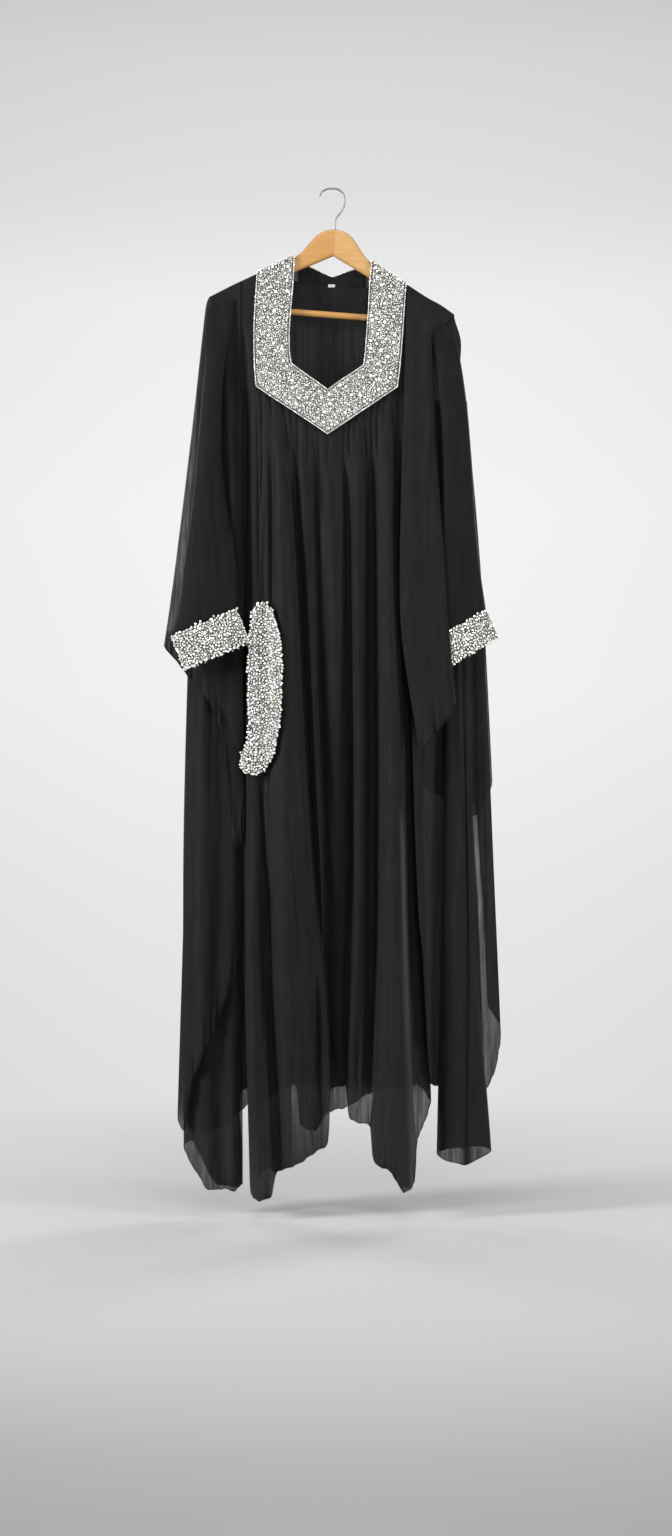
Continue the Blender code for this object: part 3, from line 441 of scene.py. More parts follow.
# Creases: start across and up, end across and up, how far out (below zero a trough), width
FRONT_CREASES = table(Crease,
    (-119, -336, -117, -402, -3.2, 3.2),
    (-104, -342, -101, -386, -3.0, 2.8),
    (-83, -356, -76, -440, -5.0, 4.6),
    (-70, -364, -68, -410, -2.4, 3.0),
    (-59, -374, -56, -470, -4.0, 3.2),
    (-42, -386, -47, -480, -4.6, 5.0),
    (-26, -396, -17, -560, -4.2, 3.6),
    (-9, -406, -10, -470, -3.6, 3.2),
    (-6, -452, -2, -520, -2.4, 3.2),
    (14, -390, 15, -450, -3.6, 3.2),
    (23, -384, 27, -450, -4.0, 3.0),
    (35, -376, 35, -424, -3.2, 3.0),
    (47, -368, 53, -500, -5.0, 4.2),
    (59, -360, 63, -440, -3.8, 3.2),
    (71, -350, 73, -462, -5.0, 4.0),
    (80, -344, 84, -396, -3.0, 3.0),
    (95, -336, 97, -404, -3.6, 3.4),
    (-148, -236, -142, -430, -5.0, 4.0),
    (-144, -330, -146, -790, -9.0, 6.0),
    (-125, -352, -123, -660, -3.8, 2.8),
    (-118, -370, -118, -600, -3.0, 2.2),
    (-101, -420, -99, -780, -4.4, 3.4),
    (-110, -430, -108, -720, 3.0, 4.0),
    (-117, -500, -117, -610, 2.6, 3.2),
    (100, -520, 105, -660, -4.6, 5.0),
    (112, -420, 118, -900, -4.0, 4.4),
    (-130, -960, -145, -1245, -3.6, 4.0),
    (-121, -1030, -136, -1250, 3.0, 3.6),
    (-106, -1120, -101, -1500, -4.4, 4.2),
    (-14, -1000, 2, -1180, 4.4, 9.0),
    (-74, -540, -60, -800, 4.0, 6.0),
    (-96, -680, -88, -1000, -3.6, 4.6),
    (-10, -540, -4, -760, -3.0, 5.0),
    (-56, -1160, -40, -1440, -3.6, 6.0),
    (34, -1160, 30, -1440, 3.2, 6.0),
    (86, -1150, 92, -1460, -3.6, 5.0),
    (104, -1230, 112, -1520, 3.4, 5.0),
    (-112, -1240, -104, -1540, 3.0, 4.4),
    (-84, -1300, -78, -1590, 3.0, 4.0),
    (-28, -1380, -20, -1550, -3.0, 3.4),
    (38, -1400, 40, -1530, -3.0, 3.2),
    (75, -1380, 70, -1590, 2.8, 4.0),
)
BACK_CREASES = table(Crease,
    (-96, -210, -92, -420, 2.2, 5.0),
    (-60, -214, -56, -520, 2.4, 5.5),
    (-20, -216, -12, -480, 2.2, 5.0),
    (24, -214, 28, -560, 2.4, 5.5),
    (64, -210, 70, -440, 2.2, 5.0),
    (-110, -620, -100, -1100, -2.2, 6.0),
    (-40, -700, -30, -1260, -2.4, 6.5),
    (10, -640, 18, -1080, 2.2, 6.0),
    (72, -760, 82, -1280, -2.4, 6.5),
    (104, -560, 112, -900, 2.0, 5.0),
)
# Long soft folds: rise, width, the cloth's distance in front, then places in the picture's frame
FOLD_LINES = table(FoldLine,
    (8, 12, 55, [(280, 440), (284, 497), (290, 607), (296, 738), (302, 851), (305, 925), (309, 999),
     (312, 1100)]),
    (5, 5, 45, [(281, 455), (288, 514), (293, 607), (298, 738), (306, 851), (312, 925), (319, 999),
     (322, 1095)]),
    (-8, 4.5, 40, [(289, 470), (296, 514), (301, 607), (306, 738), (314, 851), (320, 925), (327, 999),
     (331, 1090)]),
    (-9, 7, 40, [(308, 770), (318, 880), (324, 960), (330, 1040), (334, 1095)]),
    (5, 4.5, 45, [(347, 440), (354, 486), (357, 538), (357, 607), (359.5, 738), (359.5, 814), (359, 888),
     (356, 962), (353, 1036), (351, 1110)]),
    (-10, 5, 30, [(339, 445), (346, 486), (349, 538), (349, 607), (351.5, 738), (351.5, 814), (351, 888),
     (348, 962), (345, 1040), (343, 1095)]),
    (6, 9, 50, [(392, 460), (394, 607), (398, 780), (400, 925), (401, 1070)]),
    (-7, 6, 40, [(372, 460), (374, 607), (376, 780), (376, 925), (373, 1060)]),
    (-4, 3, 45, [(255, 800), (259, 880), (262, 960), (263, 1040)]),
    (4, 6, 55, [(266, 780), (273, 860), (280, 960), (283, 1080)]),
    (-5, 2.6, 45, [(258, 770), (264, 840), (267, 900), (265, 980)]),
    (-3.5, 2.6, 55, [(287, 800), (293, 880), (297, 960), (299, 1060)]),
    (-5, 3.5, 30, [(314, 430), (316, 497), (318, 607), (321, 738), (325, 830)]),
)
# How the wings' corners at the ends of the hanger's arms are rounded
SHOULDERS = {
    "wing_left": Shoulder(-165, 0.1, 0.0, 0.0, 38, 24),
    "wing_right_front": Shoulder(165, 0.0, 2.6, 8.0, 18, 12),
    "wing_right_back": Shoulder(165, 0.0, 2.6, 8.0, 40, 32),
}
SIDE_CREASES = {
    "gore_left": table(Crease,
        (-178, -700, -174, -1300, -2.2, 5.0),
        (-204, -800, -206, -1420, 2.2, 5.0),
        (-222, -900, -226, -1360, -1.8, 4.0),
    ),
    "over_left": table(Crease,
        (-176, -420, -172, -900, 2.0, 4.5),
        (-198, -520, -204, -1120, -2.2, 5.0),
        (-214, -760, -224, -1360, 2.0, 4.5),
    ),
    "over_right": table(Crease,
        (146, -520, 150, -1160, -2.0, 4.6),
        (178, -480, 186, -1240, 2.0, 5.0),
        (226, -640, 240, -1380, -2.0, 5.0),
        (246, -760, 258, -1300, 1.8, 4.0),
    ),
    "gore_right": table(Crease,
        (202, -560, 210, -1180, 2.2, 4.5),
        (214, -900, 224, -1460, -2.2, 4.5),
        (192, -1080, 186, -1500, -2.0, 4.0),
    ),
    "wing_left": table(Crease,
        (-202, -812, -153, -941, -2.4, 4.0),
        (-188, -871, -160, -1085, 2.2, 4.5),
        (-148, -990, -158, -1088, 2.0, 3.6),
        (-185, -195, -185, -480, -4.0, 4.2),
        (-187, -430, -150, -705, -4.0, 4.5),
        (-174, -330, -171, -560, 2.4, 5.0),
        (-216, -360, -236, -720, 2.2, 5.0),
        (-170, -420, -168, -820, 2.0, 4.5),
        (-232, -560, -254, -750, -2.0, 4.0),
    ),
    "wing_right_front": table(Crease,
        (132, -300, 134, -700, -2.2, 3.6),
        (146, -420, 158, -840, 2.2, 4.0),
        (164, -260, 150, -520, 2.0, 4.0),
        (176, -640, 186, -860, -2.0, 3.6),
    ),
    "wing_right_back": table(Crease,
        (150, -380, 162, -860, 2.0, 5.0),
        (190, -420, 214, -900, -2.2, 5.0),
        (214, -620, 238, -960, 2.0, 4.5),
    ),
}

# Areas where a layer lies doubled, and where it is at its thinnest: distance in front, how soft
# the area's edge is, then corners as places across and down the picture's frame
VIEW_MIDDLE, VIEW_SCALE, VIEW_FAR = (336.0, 768.0), 1.65, 4200.0
VIEW_X, VIEW_Z = 3.63, -954.5
PLY_REACH = 30.0
DOUBLED = {
    "gown_front": [
        (40, 1, [(236, 500), (291, 500), (291.5, 1097), (292.5, 1176), (276, 1174), (271.7, 1168),
                 (267.5, 1165), (258, 1173), (252, 1178), (236, 1184)]),
        (50, 1, [(373.5, 500), (414, 500), (412.5, 1080), (413, 1110), (416, 1140), (418, 1184),
                 (411.7, 1182.5), (398, 1183), (380, 1176), (366, 1170), (373.5, 1096)]),
        (30, 26, [(150, 150), (500, 150), (500, 1078), (150, 1078)]),
        (40, 150, [(225, 1150), (300, 1172), (300, 1240), (225, 1240)]),
    ],
    "gown_back": [
        (0, 34, [(200, 150), (480, 150), (480, 1070), (200, 1070)]),
    ],
    "gore_left": [
        (5, 1, [(187, 800), (186.5, 1131), (194, 1143), (202, 1157), (210, 1174), (217, 1184),
                (246, 1187), (242, 1140), (239, 1112), (238, 1097), (236, 1095), (236, 800)]),
        (-10, 1, [(232, 700), (262, 700), (262, 1086), (251, 1089), (240, 1091), (232, 1092)]),
        (0, 6, [(190, 560), (260, 560), (260, 1080), (190, 1080)]),
    ],
    "over_left": [
        (8, 26, [(158, 700), (208, 700), (208, 1106), (158, 1106)]),
    ],
    "over_right": [
        (5, 1, [(405, 740), (470, 740), (472, 799), (478, 905), (482, 1005), (484, 1092),
                (405, 1092)]),
        (-5, 1, [(476, 799), (474, 740), (520, 740), (520, 1030), (499, 1023), (488, 1006),
                 (483, 905)]),
        (0, 4, [(400, 380), (520, 380), (520, 760), (400, 760)]),
    ],
    "wing_right_back": [
        (-20, 2, [(390, 270), (450, 290), (462, 322), (463, 350), (463, 410), (469, 490), (477, 570),
                  (484, 610), (484, 700), (487, 767), (484, 800), (390, 830)]),
    ],
    "wing_right_front": [
        (30, 3, [(380, 280), (470, 280), (470, 745), (380, 745)]),
    ],
    "wing_left": [
        (-20, 4, [(214, 285), (260, 270), (260, 1060), (200, 900), (192, 700), (196, 600),
                  (205, 440), (210, 345)]),
    ],
    "gore_right": [
        (20, 1, [(420, 560), (520, 560), (520, 1120), (490, 1148.3), (487.5, 1145),
                 (475, 1142.5), (463, 1143.3), (446.7, 1145.8), (440, 1150), (420, 1155)]),
        (20, 3, [(462, 1136), (469, 1136), (468, 1172), (465, 1172)]),
    ],
}
THIN = {
    "wing_left": [
        (0, 1, [(150, 310), (204, 310), (200, 345), (196, 440), (190, 520), (182, 600),
                (173, 630), (150, 640)]),
    ],
}


# Curves through named values


def step_lengths(points: np.ndarray, axis: int = 0) -> np.ndarray:
    """Distances between neighbouring points along an axis."""
    return np.linalg.norm(np.diff(points, axis=axis), axis=-1)


def distance_along(line: np.ndarray) -> np.ndarray:
    """How far along a line each of its points lies."""
    return np.concatenate([[0], np.cumsum(step_lengths(line))])


def ringed(grid: Grid, closed: bool) -> Grid:
    """The grid, with its first column once more at the end where it is a tube."""
    return np.concatenate([grid, grid[:, :1]], axis=1) if closed else grid


def slopes(rate: np.ndarray, closed: bool) -> np.ndarray:
    """Slopes of a smooth curve that never overshoots its keys.

    Args:
        rate: Rise over run between each two keys.
        closed: Whether the last key joins the first.

    Returns:
        One slope for each key.
    """
    before, after = (np.roll(rate, 1, axis=0), rate) if closed else (rate[:-1], rate[1:])
    total = before + after
    safe = np.where(np.abs(total) < TINY, 1.0, total)
    inner = np.where(before * after > 0, 2 * before * after / safe, 0.0)
    return inner if closed else np.concatenate([rate[:1], inner, rate[-1:]])


def smooth_curve(keys: Sequence[float], values: np.ndarray, at: np.ndarray,
                 closed: bool = False) -> np.ndarray:
    """Values at some places on a smooth curve through the keys.

    Args:
        keys: Places of the known values, rising.
        values: The known values, one row for each key.
        at: Places to read.
        closed: Whether the curve joins up; keys then has one more place than values.

    Returns:
        One row for each place in at.
    """
    keys, values, at = (np.asarray(a, float) for a in (keys, values, at))
    ends = np.concatenate([values, values[:1]]) if closed else values
    across = (-1,) + (1,) * (ends.ndim - 1)
    steps = np.diff(keys)
    tangents = slopes(np.diff(ends, axis=0) / steps.reshape(across), closed)
    if closed:
        tangents = np.concatenate([tangents, tangents[:1]])
    i = np.clip(np.searchsorted(keys, at, side="right") - 1, 0, len(steps) - 1)
    run = steps[i].reshape(across)
    t = ((at - keys[i]) / steps[i]).reshape(across)
    return ((2 * t**3 - 3 * t**2 + 1) * ends[i] + (t**3 - 2 * t**2 + t) * run * tangents[i]
            + (3 * t**2 - 2 * t**3) * ends[i + 1] + (t**3 - t**2) * run * tangents[i + 1])


def even(count: int) -> np.ndarray:
    """Places from 0 to 1 in count steps."""
    return np.linspace(0, 1, count + 1)


def refine(columns: Sequence[Sequence[float]], steps: int, closed: bool = False) -> np.ndarray:
    """Fold lines as rows of numbers, with steps places between each two.

    Args:
        columns: The numbers of each fold line.
        steps: How many places each gap is cut into.
        closed: Whether the last fold line joins the first.

    Returns:
        The numbers of every place.
    """
    spans = len(columns) if closed else len(columns) - 1
    at = np.arange(spans * steps + (0 if closed else 1)) / steps
    return smooth_curve(np.arange(spans + 1), np.asarray(columns, float), at, closed)


# Shoulder line and neck band


def arm_top(x: float) -> float:
    """Height of the hanger arm's upper edge at x.

    Args:
        x: Place across.

    Returns:
        The height.
    """
    cos_r, sin_r = math.cos(ROLL), math.sin(ROLL)
    side = -1 if x < CROWN_X else 1
    start_x = CROWN_X + side * NECK_REACH * cos_r + NECK_DROP * sin_r
    start_z = CROWN_Z - side * NECK_REACH * sin_r + NECK_DROP * cos_r
    return start_z - math.tan(ARM_SLOPE + side * ROLL) * side * (x - start_x)


def crest(x: float, lift: float = 0.0) -> float:
    """Height of the cloth's fold over the hanger arm."""
    return arm_top(x) + CREST_LIFT + lift


def band_out(z: float) -> float:
    """How far the neck band stands in front at height z."""
    along = np.clip((BAND_TOP_Z - z) / (BAND_TOP_Z - BAND_LOW_Z), 0, 1)
    return BAND_OUT_TOP + along * (BAND_OUT_LOW - BAND_OUT_TOP)


def under_band(z: float) -> float:
    """Distance in front of cloth that passes under the neck band."""
    along = np.clip((BAND_TOP_Z - z) / (BAND_TOP_Z - YOKE_Z), 0, 1)
    return band_out(z) - BAND / 2 - SEAM_GAP - CLOTH / 2 - UNDER_YOKE * along


def band_edge(x: float) -> float:
    """Height of the neck band's lower edge at x."""
    low = [s for s in NECK_FRONT if s.outer_z <= NECK_FRONT[4].outer_z]
    return float(np.interp(x, [s.outer_x for s in low], [s.outer_z for s in low]))


def seam_height(x: float) -> float:
    """Height of the seam at the back neck at x."""
    along = (x - SEAM_LEFT[0]) / (SEAM_RIGHT[0] - SEAM_LEFT[0])
    return SEAM_LEFT[1] + along * (SEAM_RIGHT[1] - SEAM_LEFT[1])


def back_neck_out(x: float) -> float:
    """How far behind the gown's back neck lies at x."""
    return BACK_SIDE_OUT + BACK_MORE_OUT * math.exp(-((x / BACK_WIDE) ** 2))


# Grids of points


def fold_points(heights: np.ndarray, keys: Sequence[Triple]) -> Grid:
    """Points down one fold line.

    Args:
        heights: Heights of the points.
        keys: Heights with the place across and the distance in front there.

    Returns:
        One point for each height.
    """
    order = np.array(sorted(keys, key=lambda key: -key[0]))
    found = smooth_curve(-order[:, 0], order[:, 1:], -heights)
    return np.stack([found[:, 0], -found[:, 1], heights], axis=1)


def drape(folds: Sequence[Fold], top: Callable[[Fold], float], levels: tuple[float, float],
          rows: int, steps: int, closed: bool = False,
          crest_row: Callable[[np.ndarray], tuple] | None = None) -> Grid:
    """Grid of points for a cloth piece that hangs from its top edge.

    Args:
        folds: The piece's fold table.
        top: Gives the height of the first full row of a fold line.
        levels: Heights of the table's upper and lower columns.
        rows: Steps down the cloth.
        steps: Places between two fold lines.
        closed: Whether the piece is a tube.
        crest_row: Gives the point over the hanger's arm that comes before the first row.

    Returns:
        Points as rows down and columns across.
    """
    lines = refine([list(f[1:]) + [top(f)] for f in folds], steps, closed)
    columns = []
    for line in lines:
        hem_z, top_z = line[8], line[9]
        keys = [(top_z, line[0], line[4]), (hem_z, line[3], line[7])]
        keys += [(z, line[1 + k], line[5 + k]) for k, z in enumerate(levels) if top_z > z > hem_z]
        column = fold_points(top_z + (hem_z - top_z) * even(rows), keys)
        if crest_row:
            column = np.vstack([[crest_row(line)], column])
        columns.append(column)
    return np.array(columns).transpose(1, 0, 2)


def round_shoulder(grid: Grid, shoulder: Shoulder) -> Grid:
    """Rounds a wing's corner at the end of the hanger's arm.

    Args:
        grid: Points as rows and columns; the first row lies over the arm.
        shoulder: How much it is rounded.

    Returns:
        The grid, changed in place.
    """
    down = grid[0, :, 2] - grid[..., 2]
    beyond = grid[..., 0] - shoulder.pivot_x
    side = np.sign(shoulder.pivot_x)
    outside = beyond * side > 0
    pull = shoulder.pull * np.exp(-down / PULL_FADE)
    ramp = np.clip(beyond * side / PUSH_RAMP, 0, 1)
    far = (down - shoulder.push_down) / shoulder.push_reach
    push = shoulder.push * ramp * np.exp(-(far**2))
    near = np.exp(-(((grid[..., 0] - side * LIFT_AT) / LIFT_WIDE) ** 2))
    grid[..., 2] += shoulder.lift * near * np.exp(-down / LIFT_FADE)
    grid[..., 0] += np.where(outside, side * push - beyond * pull, 0.0)
    return grid


def tube(rings: Sequence[Ring], columns: int, rows: int) -> Grid:
    """Grid of points for a flattened tube through rings.

    Args:
        rings: The table of rings.
        columns: Points round the tube.
        rows: Rings to make.

    Returns:
        Points as rows down and columns round.
    """
    places = np.linspace(0, len(rings) - 1, rows)
    lines = smooth_curve(np.arange(len(rings)), np.array(rings, float), places)
    turn = 2 * math.pi * np.arange(columns) / columns
    x, z, half_width, tilt, out, half_depth = (lines[:, k : k + 1] for k in range(6))
    along = half_width * np.cos(turn)
    lean = np.radians(tilt)
    depth = -out + half_depth * np.sin(turn)
    return np.stack([x + along * np.cos(lean), depth, z + along * np.sin(lean)], axis=2)


def resample(grid: Grid, rows: int, columns: int, smooth: bool = False) -> Grid:
    """A finer grid on the same surface.

    Args:
        grid: Points as rows and columns.
        rows: Steps between each two rows.
        columns: Steps between each two columns.
        smooth: Whether it bends smoothly through the points.

    Returns:
        The finer grid.
    """
    for steps in (rows, columns):
        count = grid.shape[0]
        at = np.arange((count - 1) * steps + 1) / steps
        if smooth:
            grid = smooth_curve(np.arange(count), grid, at)
        else:
            low = np.minimum(at.astype(int), count - 2)
            share = (at - low)[:, None, None]
            grid = grid[low] * (1 - share) + grid[low + 1] * share
        grid = grid.transpose(1, 0, 2)
    return grid


def press(grid: Grid, creases: Sequence[Crease]) -> Grid:
    """Raises soft ridges and presses soft troughs into a grid.

    Args:
        grid: Points as rows and columns.
        creases: The creases that lie on it.

    Returns:
        The grid, changed in place.
    """
    flat = grid[..., [0, 2]]
    for c in creases:
        start = np.array([c.x_start, c.z_start])
        way = np.array([c.x_end, c.z_end]) - start
        length = float(np.linalg.norm(way))
        from_start = flat - start
        along = (from_start @ way) / length**2
        across = (from_start[..., 0] * way[1] - from_start[..., 1] * way[0]) / length
        fade = np.clip(4 * along * (1 - along), 0, 1) ** CREASE_EASE
        grid[..., 1] -= c.out * fade * np.exp(-((across / c.width) ** 2))
    return grid


def press_lines(grid: Grid, lines: Sequence[FoldLine]) -> Grid:
    """Raises or sinks long soft folds along lines that run down a grid.

    Args:
        grid: Points as rows and columns.
        lines: The fold lines that lie on it.

    Returns:
        The grid, changed in place.
    """
    height = grid[..., 2]
    for line in lines:
        places = in_view(line.places, line.out)[::-1]
        across = grid[..., 0] - np.interp(height, places[:, 1], places[:, 0])
        along = (height - places[0, 1]) / (places[-1, 1] - places[0, 1])
        fade = np.clip(4 * along * (1 - along), 0, 1) ** LINE_EASE
        grid[..., 1] -= line.rise * fade * np.exp(-((across / line.width) ** 2))
    return grid


def ripple_hem(grid: Grid, size: float, seed: int) -> Grid:
    """Makes the hem wave a little, as thin cloth does.

    Args:
        grid: Points as rows and columns; the last row is the hem.
        size: Height of the waves.
        seed: Makes the waves of each piece its own.

    Returns:
        The grid, changed in place.
    """
    rng = np.random.default_rng(seed)
    along = distance_along(grid[-1])
    wave = sum(np.sin(2 * math.pi * along / length + rng.uniform(0, FULL_TURN)) * share
               for length, share in HEM_WAVES)
    down = np.cumsum(step_lengths(grid)[::-1], axis=0)[::-1]
    down = np.vstack([down, np.zeros((1, grid.shape[1]))])
    reach = np.exp(-((down / RIPPLE_REACH) ** 2))
    grid[..., 1] -= size * wave * reach
    grid[..., 2] += HEM_LIFT * size * np.roll(wave, HEM_SHIFT) * reach
    return grid


def front_normals(grid: Grid, closed: bool) -> Grid:
    """Unit normals of a grid: to the front on a panel, outwards on a tube.

    Args:
        grid: Points as rows and columns.
        closed: Whether it is a tube.

    Returns:
        One normal for each point.
    """
    down = np.gradient(grid, axis=0)
    if closed:
        across = (np.roll(grid, -1, axis=1) - np.roll(grid, 1, axis=1)) / 2
    else:
        across = np.gradient(grid, axis=1)
    found = np.cross(down, across)
    size = np.linalg.norm(found, axis=2, keepdims=True)
    return found / np.where(size < TINY, 1.0, size)


def outline(grid: Grid, closed: bool) -> list[Grid]:
    """The lines round a grid's edge: one for a panel, two for a tube.

    Args:
        grid: Points as rows and columns.
        closed: Whether it is a tube.

    Returns:
        The lines.
    """
    if closed:
        return [grid[0], grid[-1]]
    return [np.concatenate([grid[0, :-1], grid[:-1, -1], grid[-1, :0:-1], grid[:0:-1, 0]])]


# Meshes from grids


class Faces:
    """Corners, faces and UVs of a closed shell around a grid, made cell by cell in bulk."""

    def __init__(self, grid: Grid, thick: float, closed: bool = False,
                 keep: np.ndarray | None = None) -> None:
        """Lays out the shell.

        Args:
            grid: Points as rows down and columns across.
            thick: The shell's thickness.
            closed: Whether the last column joins the first.
            keep: The cells that are cloth; all of them when left out.
        """
        rows, columns = grid.shape[:2]
        self.cells_across = columns if closed else columns - 1
        self.keep = np.ones((rows - 1, self.cells_across), bool) if keep is None else keep
        self.closed, self.columns, self.count = closed, columns, rows * columns
        lean = front_normals(grid, closed) * thick / 2
        self.points = np.concatenate([(grid + lean).reshape(-1, 3), (grid - lean).reshape(-1, 3)])
        self.uv = self.measure(grid)
        self.quads, self.quad_uv = self.sides()

    def measure(self, grid: Grid) -> np.ndarray:
        """Distances across and down the cloth, in metres, at each corner of each cell.

        Args:
            grid: Points as rows and columns.

        Returns:
            The pairs of distances, as rows and columns.
        """
        ring = ringed(grid, self.closed)
        across = step_lengths(ring, 1).mean(axis=0)
        down = step_lengths(ring)
        u = np.concatenate([[0], np.cumsum(across)])
        v = np.vstack([np.zeros(ring.shape[1]), np.cumsum(down, axis=0)])
        return np.stack([np.broadcast_to(u, v.shape), v], axis=2) * MM

    def sides(self) -> tuple[np.ndarray, np.ndarray]:
        """Quads of both sides and of the rims, with the UV of each of their corners.

        Returns:
            The corner numbers and the UVs.
        """
        i, j = np.nonzero(self.keep)
        corners = [(i, j), (i + 1, j), (i + 1, j + 1), (i, j + 1)]
        index = [row * self.columns + column % self.columns for row, column in corners]
        place = [self.uv[row, column] for row, column in corners]
        quads = [np.stack(index, axis=1), np.stack([index[k] for k in (0, 3, 2, 1)], axis=1)]
        quads[1] = quads[1] + self.count
        uvs = [np.stack(place, axis=1), np.stack([place[k] for k in (0, 3, 2, 1)], axis=1)]
        room = np.pad(self.keep, 1, mode="wrap" if self.closed else "constant")
        room[0], room[-1] = False, False
        shifts = [(-1, 0, 3, 0), (1, 0, 1, 2), (0, -1, 0, 1), (0, 1, 2, 3)]
        for step_i, step_j, start, end in shifts:
            bare = ~room[i + 1 + step_i, j + 1 + step_j]
            p, q = index[start][bare], index[end][bare]
            quads.append(np.stack([q, p, p + self.count, q + self.count], axis=1))
            at_p, at_q = place[start][bare], place[end][bare]
            uvs.append(np.stack([at_q, at_p, at_p, at_q], axis=1))
        return np.concatenate(quads), np.concatenate(uvs)

    def area(self) -> float:
        """Surface of one side, in square metres."""
        a, b, c, d = (self.points[self.quads[: int(self.keep.sum()), k]] for k in range(4))
        return float(np.linalg.norm(np.cross(c - a, d - b), axis=1).sum() / 2) * MM**2


def add_object(name: str, data: bpy.types.ID) -> Piece:
    """A new object of the scene that holds some data.

    Args:
        name: Its name.
        data: What it holds.

    Returns:
        The object.
    """
    made = bpy.data.objects.new(name, data)
    bpy.context.collection.objects.link(made)
    return made


def make_object(name: str, points: np.ndarray, faces: np.ndarray,
                uv: np.ndarray | None = None) -> Piece:
    """A named object from points in millimetres and faces of one size.

    Args:
        name: Name of the piece.
        points: Its points.
        faces: Corner numbers, one row for each face.
        uv: UV of each corner of each face; a piece with none is shaded flat.

    Returns:
        The object, with its origin at the frame's origin.
    """
    used, order = np.unique(faces, return_inverse=True)
    points, faces = points[used], order.reshape(faces.shape)
    mesh = bpy.data.meshes.new(name)
    sides = faces.shape[1]
    mesh.vertices.add(len(points))
    mesh.vertices.foreach_set("co", (points * MM).astype(np.float32).ravel())
    mesh.loops.add(faces.size)
    mesh.loops.foreach_set("vertex_index", faces.astype(np.int32).ravel())
    mesh.polygons.add(len(faces))
    mesh.polygons.foreach_set("loop_start", np.arange(0, faces.size, sides, dtype=np.int32))
    mesh.polygons.foreach_set("use_smooth", np.full(len(faces), uv is not None))
    if uv is not None:
        layer = mesh.uv_layers.new(name="cloth")
        layer.uv.foreach_set("vector", uv.astype(np.float32).ravel())
    mesh.update(calc_edges=True)
    mesh.validate()
    return add_object(name, mesh)


def outward(points: np.ndarray, faces: np.ndarray) -> bool:
    """Whether a closed mesh of quads has its faces pointing out.

    Args:
        points: Its points.
        faces: Corner numbers of its quads.

    Returns:
        True where they point out.
    """
    a, b, c, d = (points[faces[:, k]] for k in range(4))
    cross = np.cross(b - a, c - a) + np.cross(c - a, d - a)
    return float((a * cross).sum()) > 0


def add_shell(name: str, grid: Grid, thick: float, closed: bool = False,
              keep: np.ndarray | None = None) -> tuple[Piece, float]:
    """A closed thin shell around a grid.

    Args:
        name: Name of the piece.
        grid: Points as rows down and columns across.
        thick: The shell's thickness.
        closed: Whether it is a tube.
        keep: The cells that are cloth.

    Returns:
        The piece, and the surface of one side in square metres.
    """
    shell = Faces(grid, thick, closed, keep)
    quads, uv = shell.quads, shell.quad_uv
    if not outward(shell.points, quads):
        quads, uv = quads[:, ::-1], uv[:, ::-1]
    return make_object(name, shell.points, quads, uv), shell.area()


def add_roll(name: str, paths: Sequence[Grid], radius: float, sides: int = 6) -> Piece:
    """Thin round rolls along paths, as one mesh, with closed ends.

    Args:
        name: Name of the piece.
        paths: Points of each path.
        radius: Radius of the roll.
        sides: Corners round it.

    Returns:
        The piece.
    """
    points, faces, uvs, start = [], [], [], 0
    for path in paths:
        along = np.gradient(path, axis=0)
        along /= np.maximum(np.linalg.norm(along, axis=1, keepdims=True), TINY)
        first = np.cross(along, [0.0, 0.0, 1.0])
        flat = np.linalg.norm(first, axis=1) < UPRIGHT
        first[flat] = np.cross(along[flat], [0.0, 1.0, 0.0])
        first /= np.maximum(np.linalg.norm(first, axis=1, keepdims=True), TINY)
        second = np.cross(along, first)
        turn = 2 * math.pi * np.arange(sides) / sides
        slim = np.ones(len(path))
        slim[[0, -1]] = ROLL_TIP
        ring = (np.cos(turn)[None, :, None] * first[:, None]
                + np.sin(turn)[None, :, None] * second[:, None])
        points.append((path[:, None] + ring * radius * slim[:, None, None]).reshape(-1, 3))
        i, k = np.meshgrid(np.arange(len(path) - 1), np.arange(sides), indexing="ij")
        a, b = i * sides + k, i * sides + (k + 1) % sides
        faces.append(start + np.stack([a, a + sides, b + sides, b], axis=2).reshape(-1, 4))
        length = distance_along(path)
        corner = np.stack([np.stack([(k + across) * radius, length[i + down]], axis=2)
                           for across, down in ((0, 0), (0, 1), (1, 1), (1, 0))], axis=2)
        uvs.append(corner.reshape(-1, 4, 2) * MM)
        start += len(path) * sides
    return make_object(name, np.concatenate(points), np.concatenate(faces), np.concatenate(uvs))


# Cloth pieces


class Slot(Enum):
    """The record's material slots."""

    CLOTH = "black_chiffon"
    BEADS = "silver_beads"
    WIRE = "hook_wire"
    LABEL = "label_cloth"


def inside_by(points: np.ndarray, corners: np.ndarray) -> np.ndarray:
    """How far inside a polygon each point lies; below zero outside.

    Args:
        points: Points in the plane.
        corners: The polygon's corners in order.

    Returns:
        One distance for each point.
    """
    ends = np.roll(corners, -1, axis=0)
    near = np.full(len(points), 1e9)
    crossings = np.zeros(len(points), int)
    for (ax, az), (bx, bz) in zip(corners, ends):
        way = np.array([bx - ax, bz - az])
        from_a = points - (ax, az)
        t = np.clip(from_a @ way / max(way @ way, TINY), 0, 1)[:, None]
        near = np.minimum(near, np.linalg.norm(from_a - t * way, axis=1))
        spans = (az > points[:, 1]) != (bz > points[:, 1])
        height = bz - az if abs(bz - az) > TINY else TINY
        left = ax + (points[:, 1] - az) / height * (bx - ax)
        crossings += spans & (points[:, 0] < left)
    return np.where(crossings % 2 == 1, near, -near)


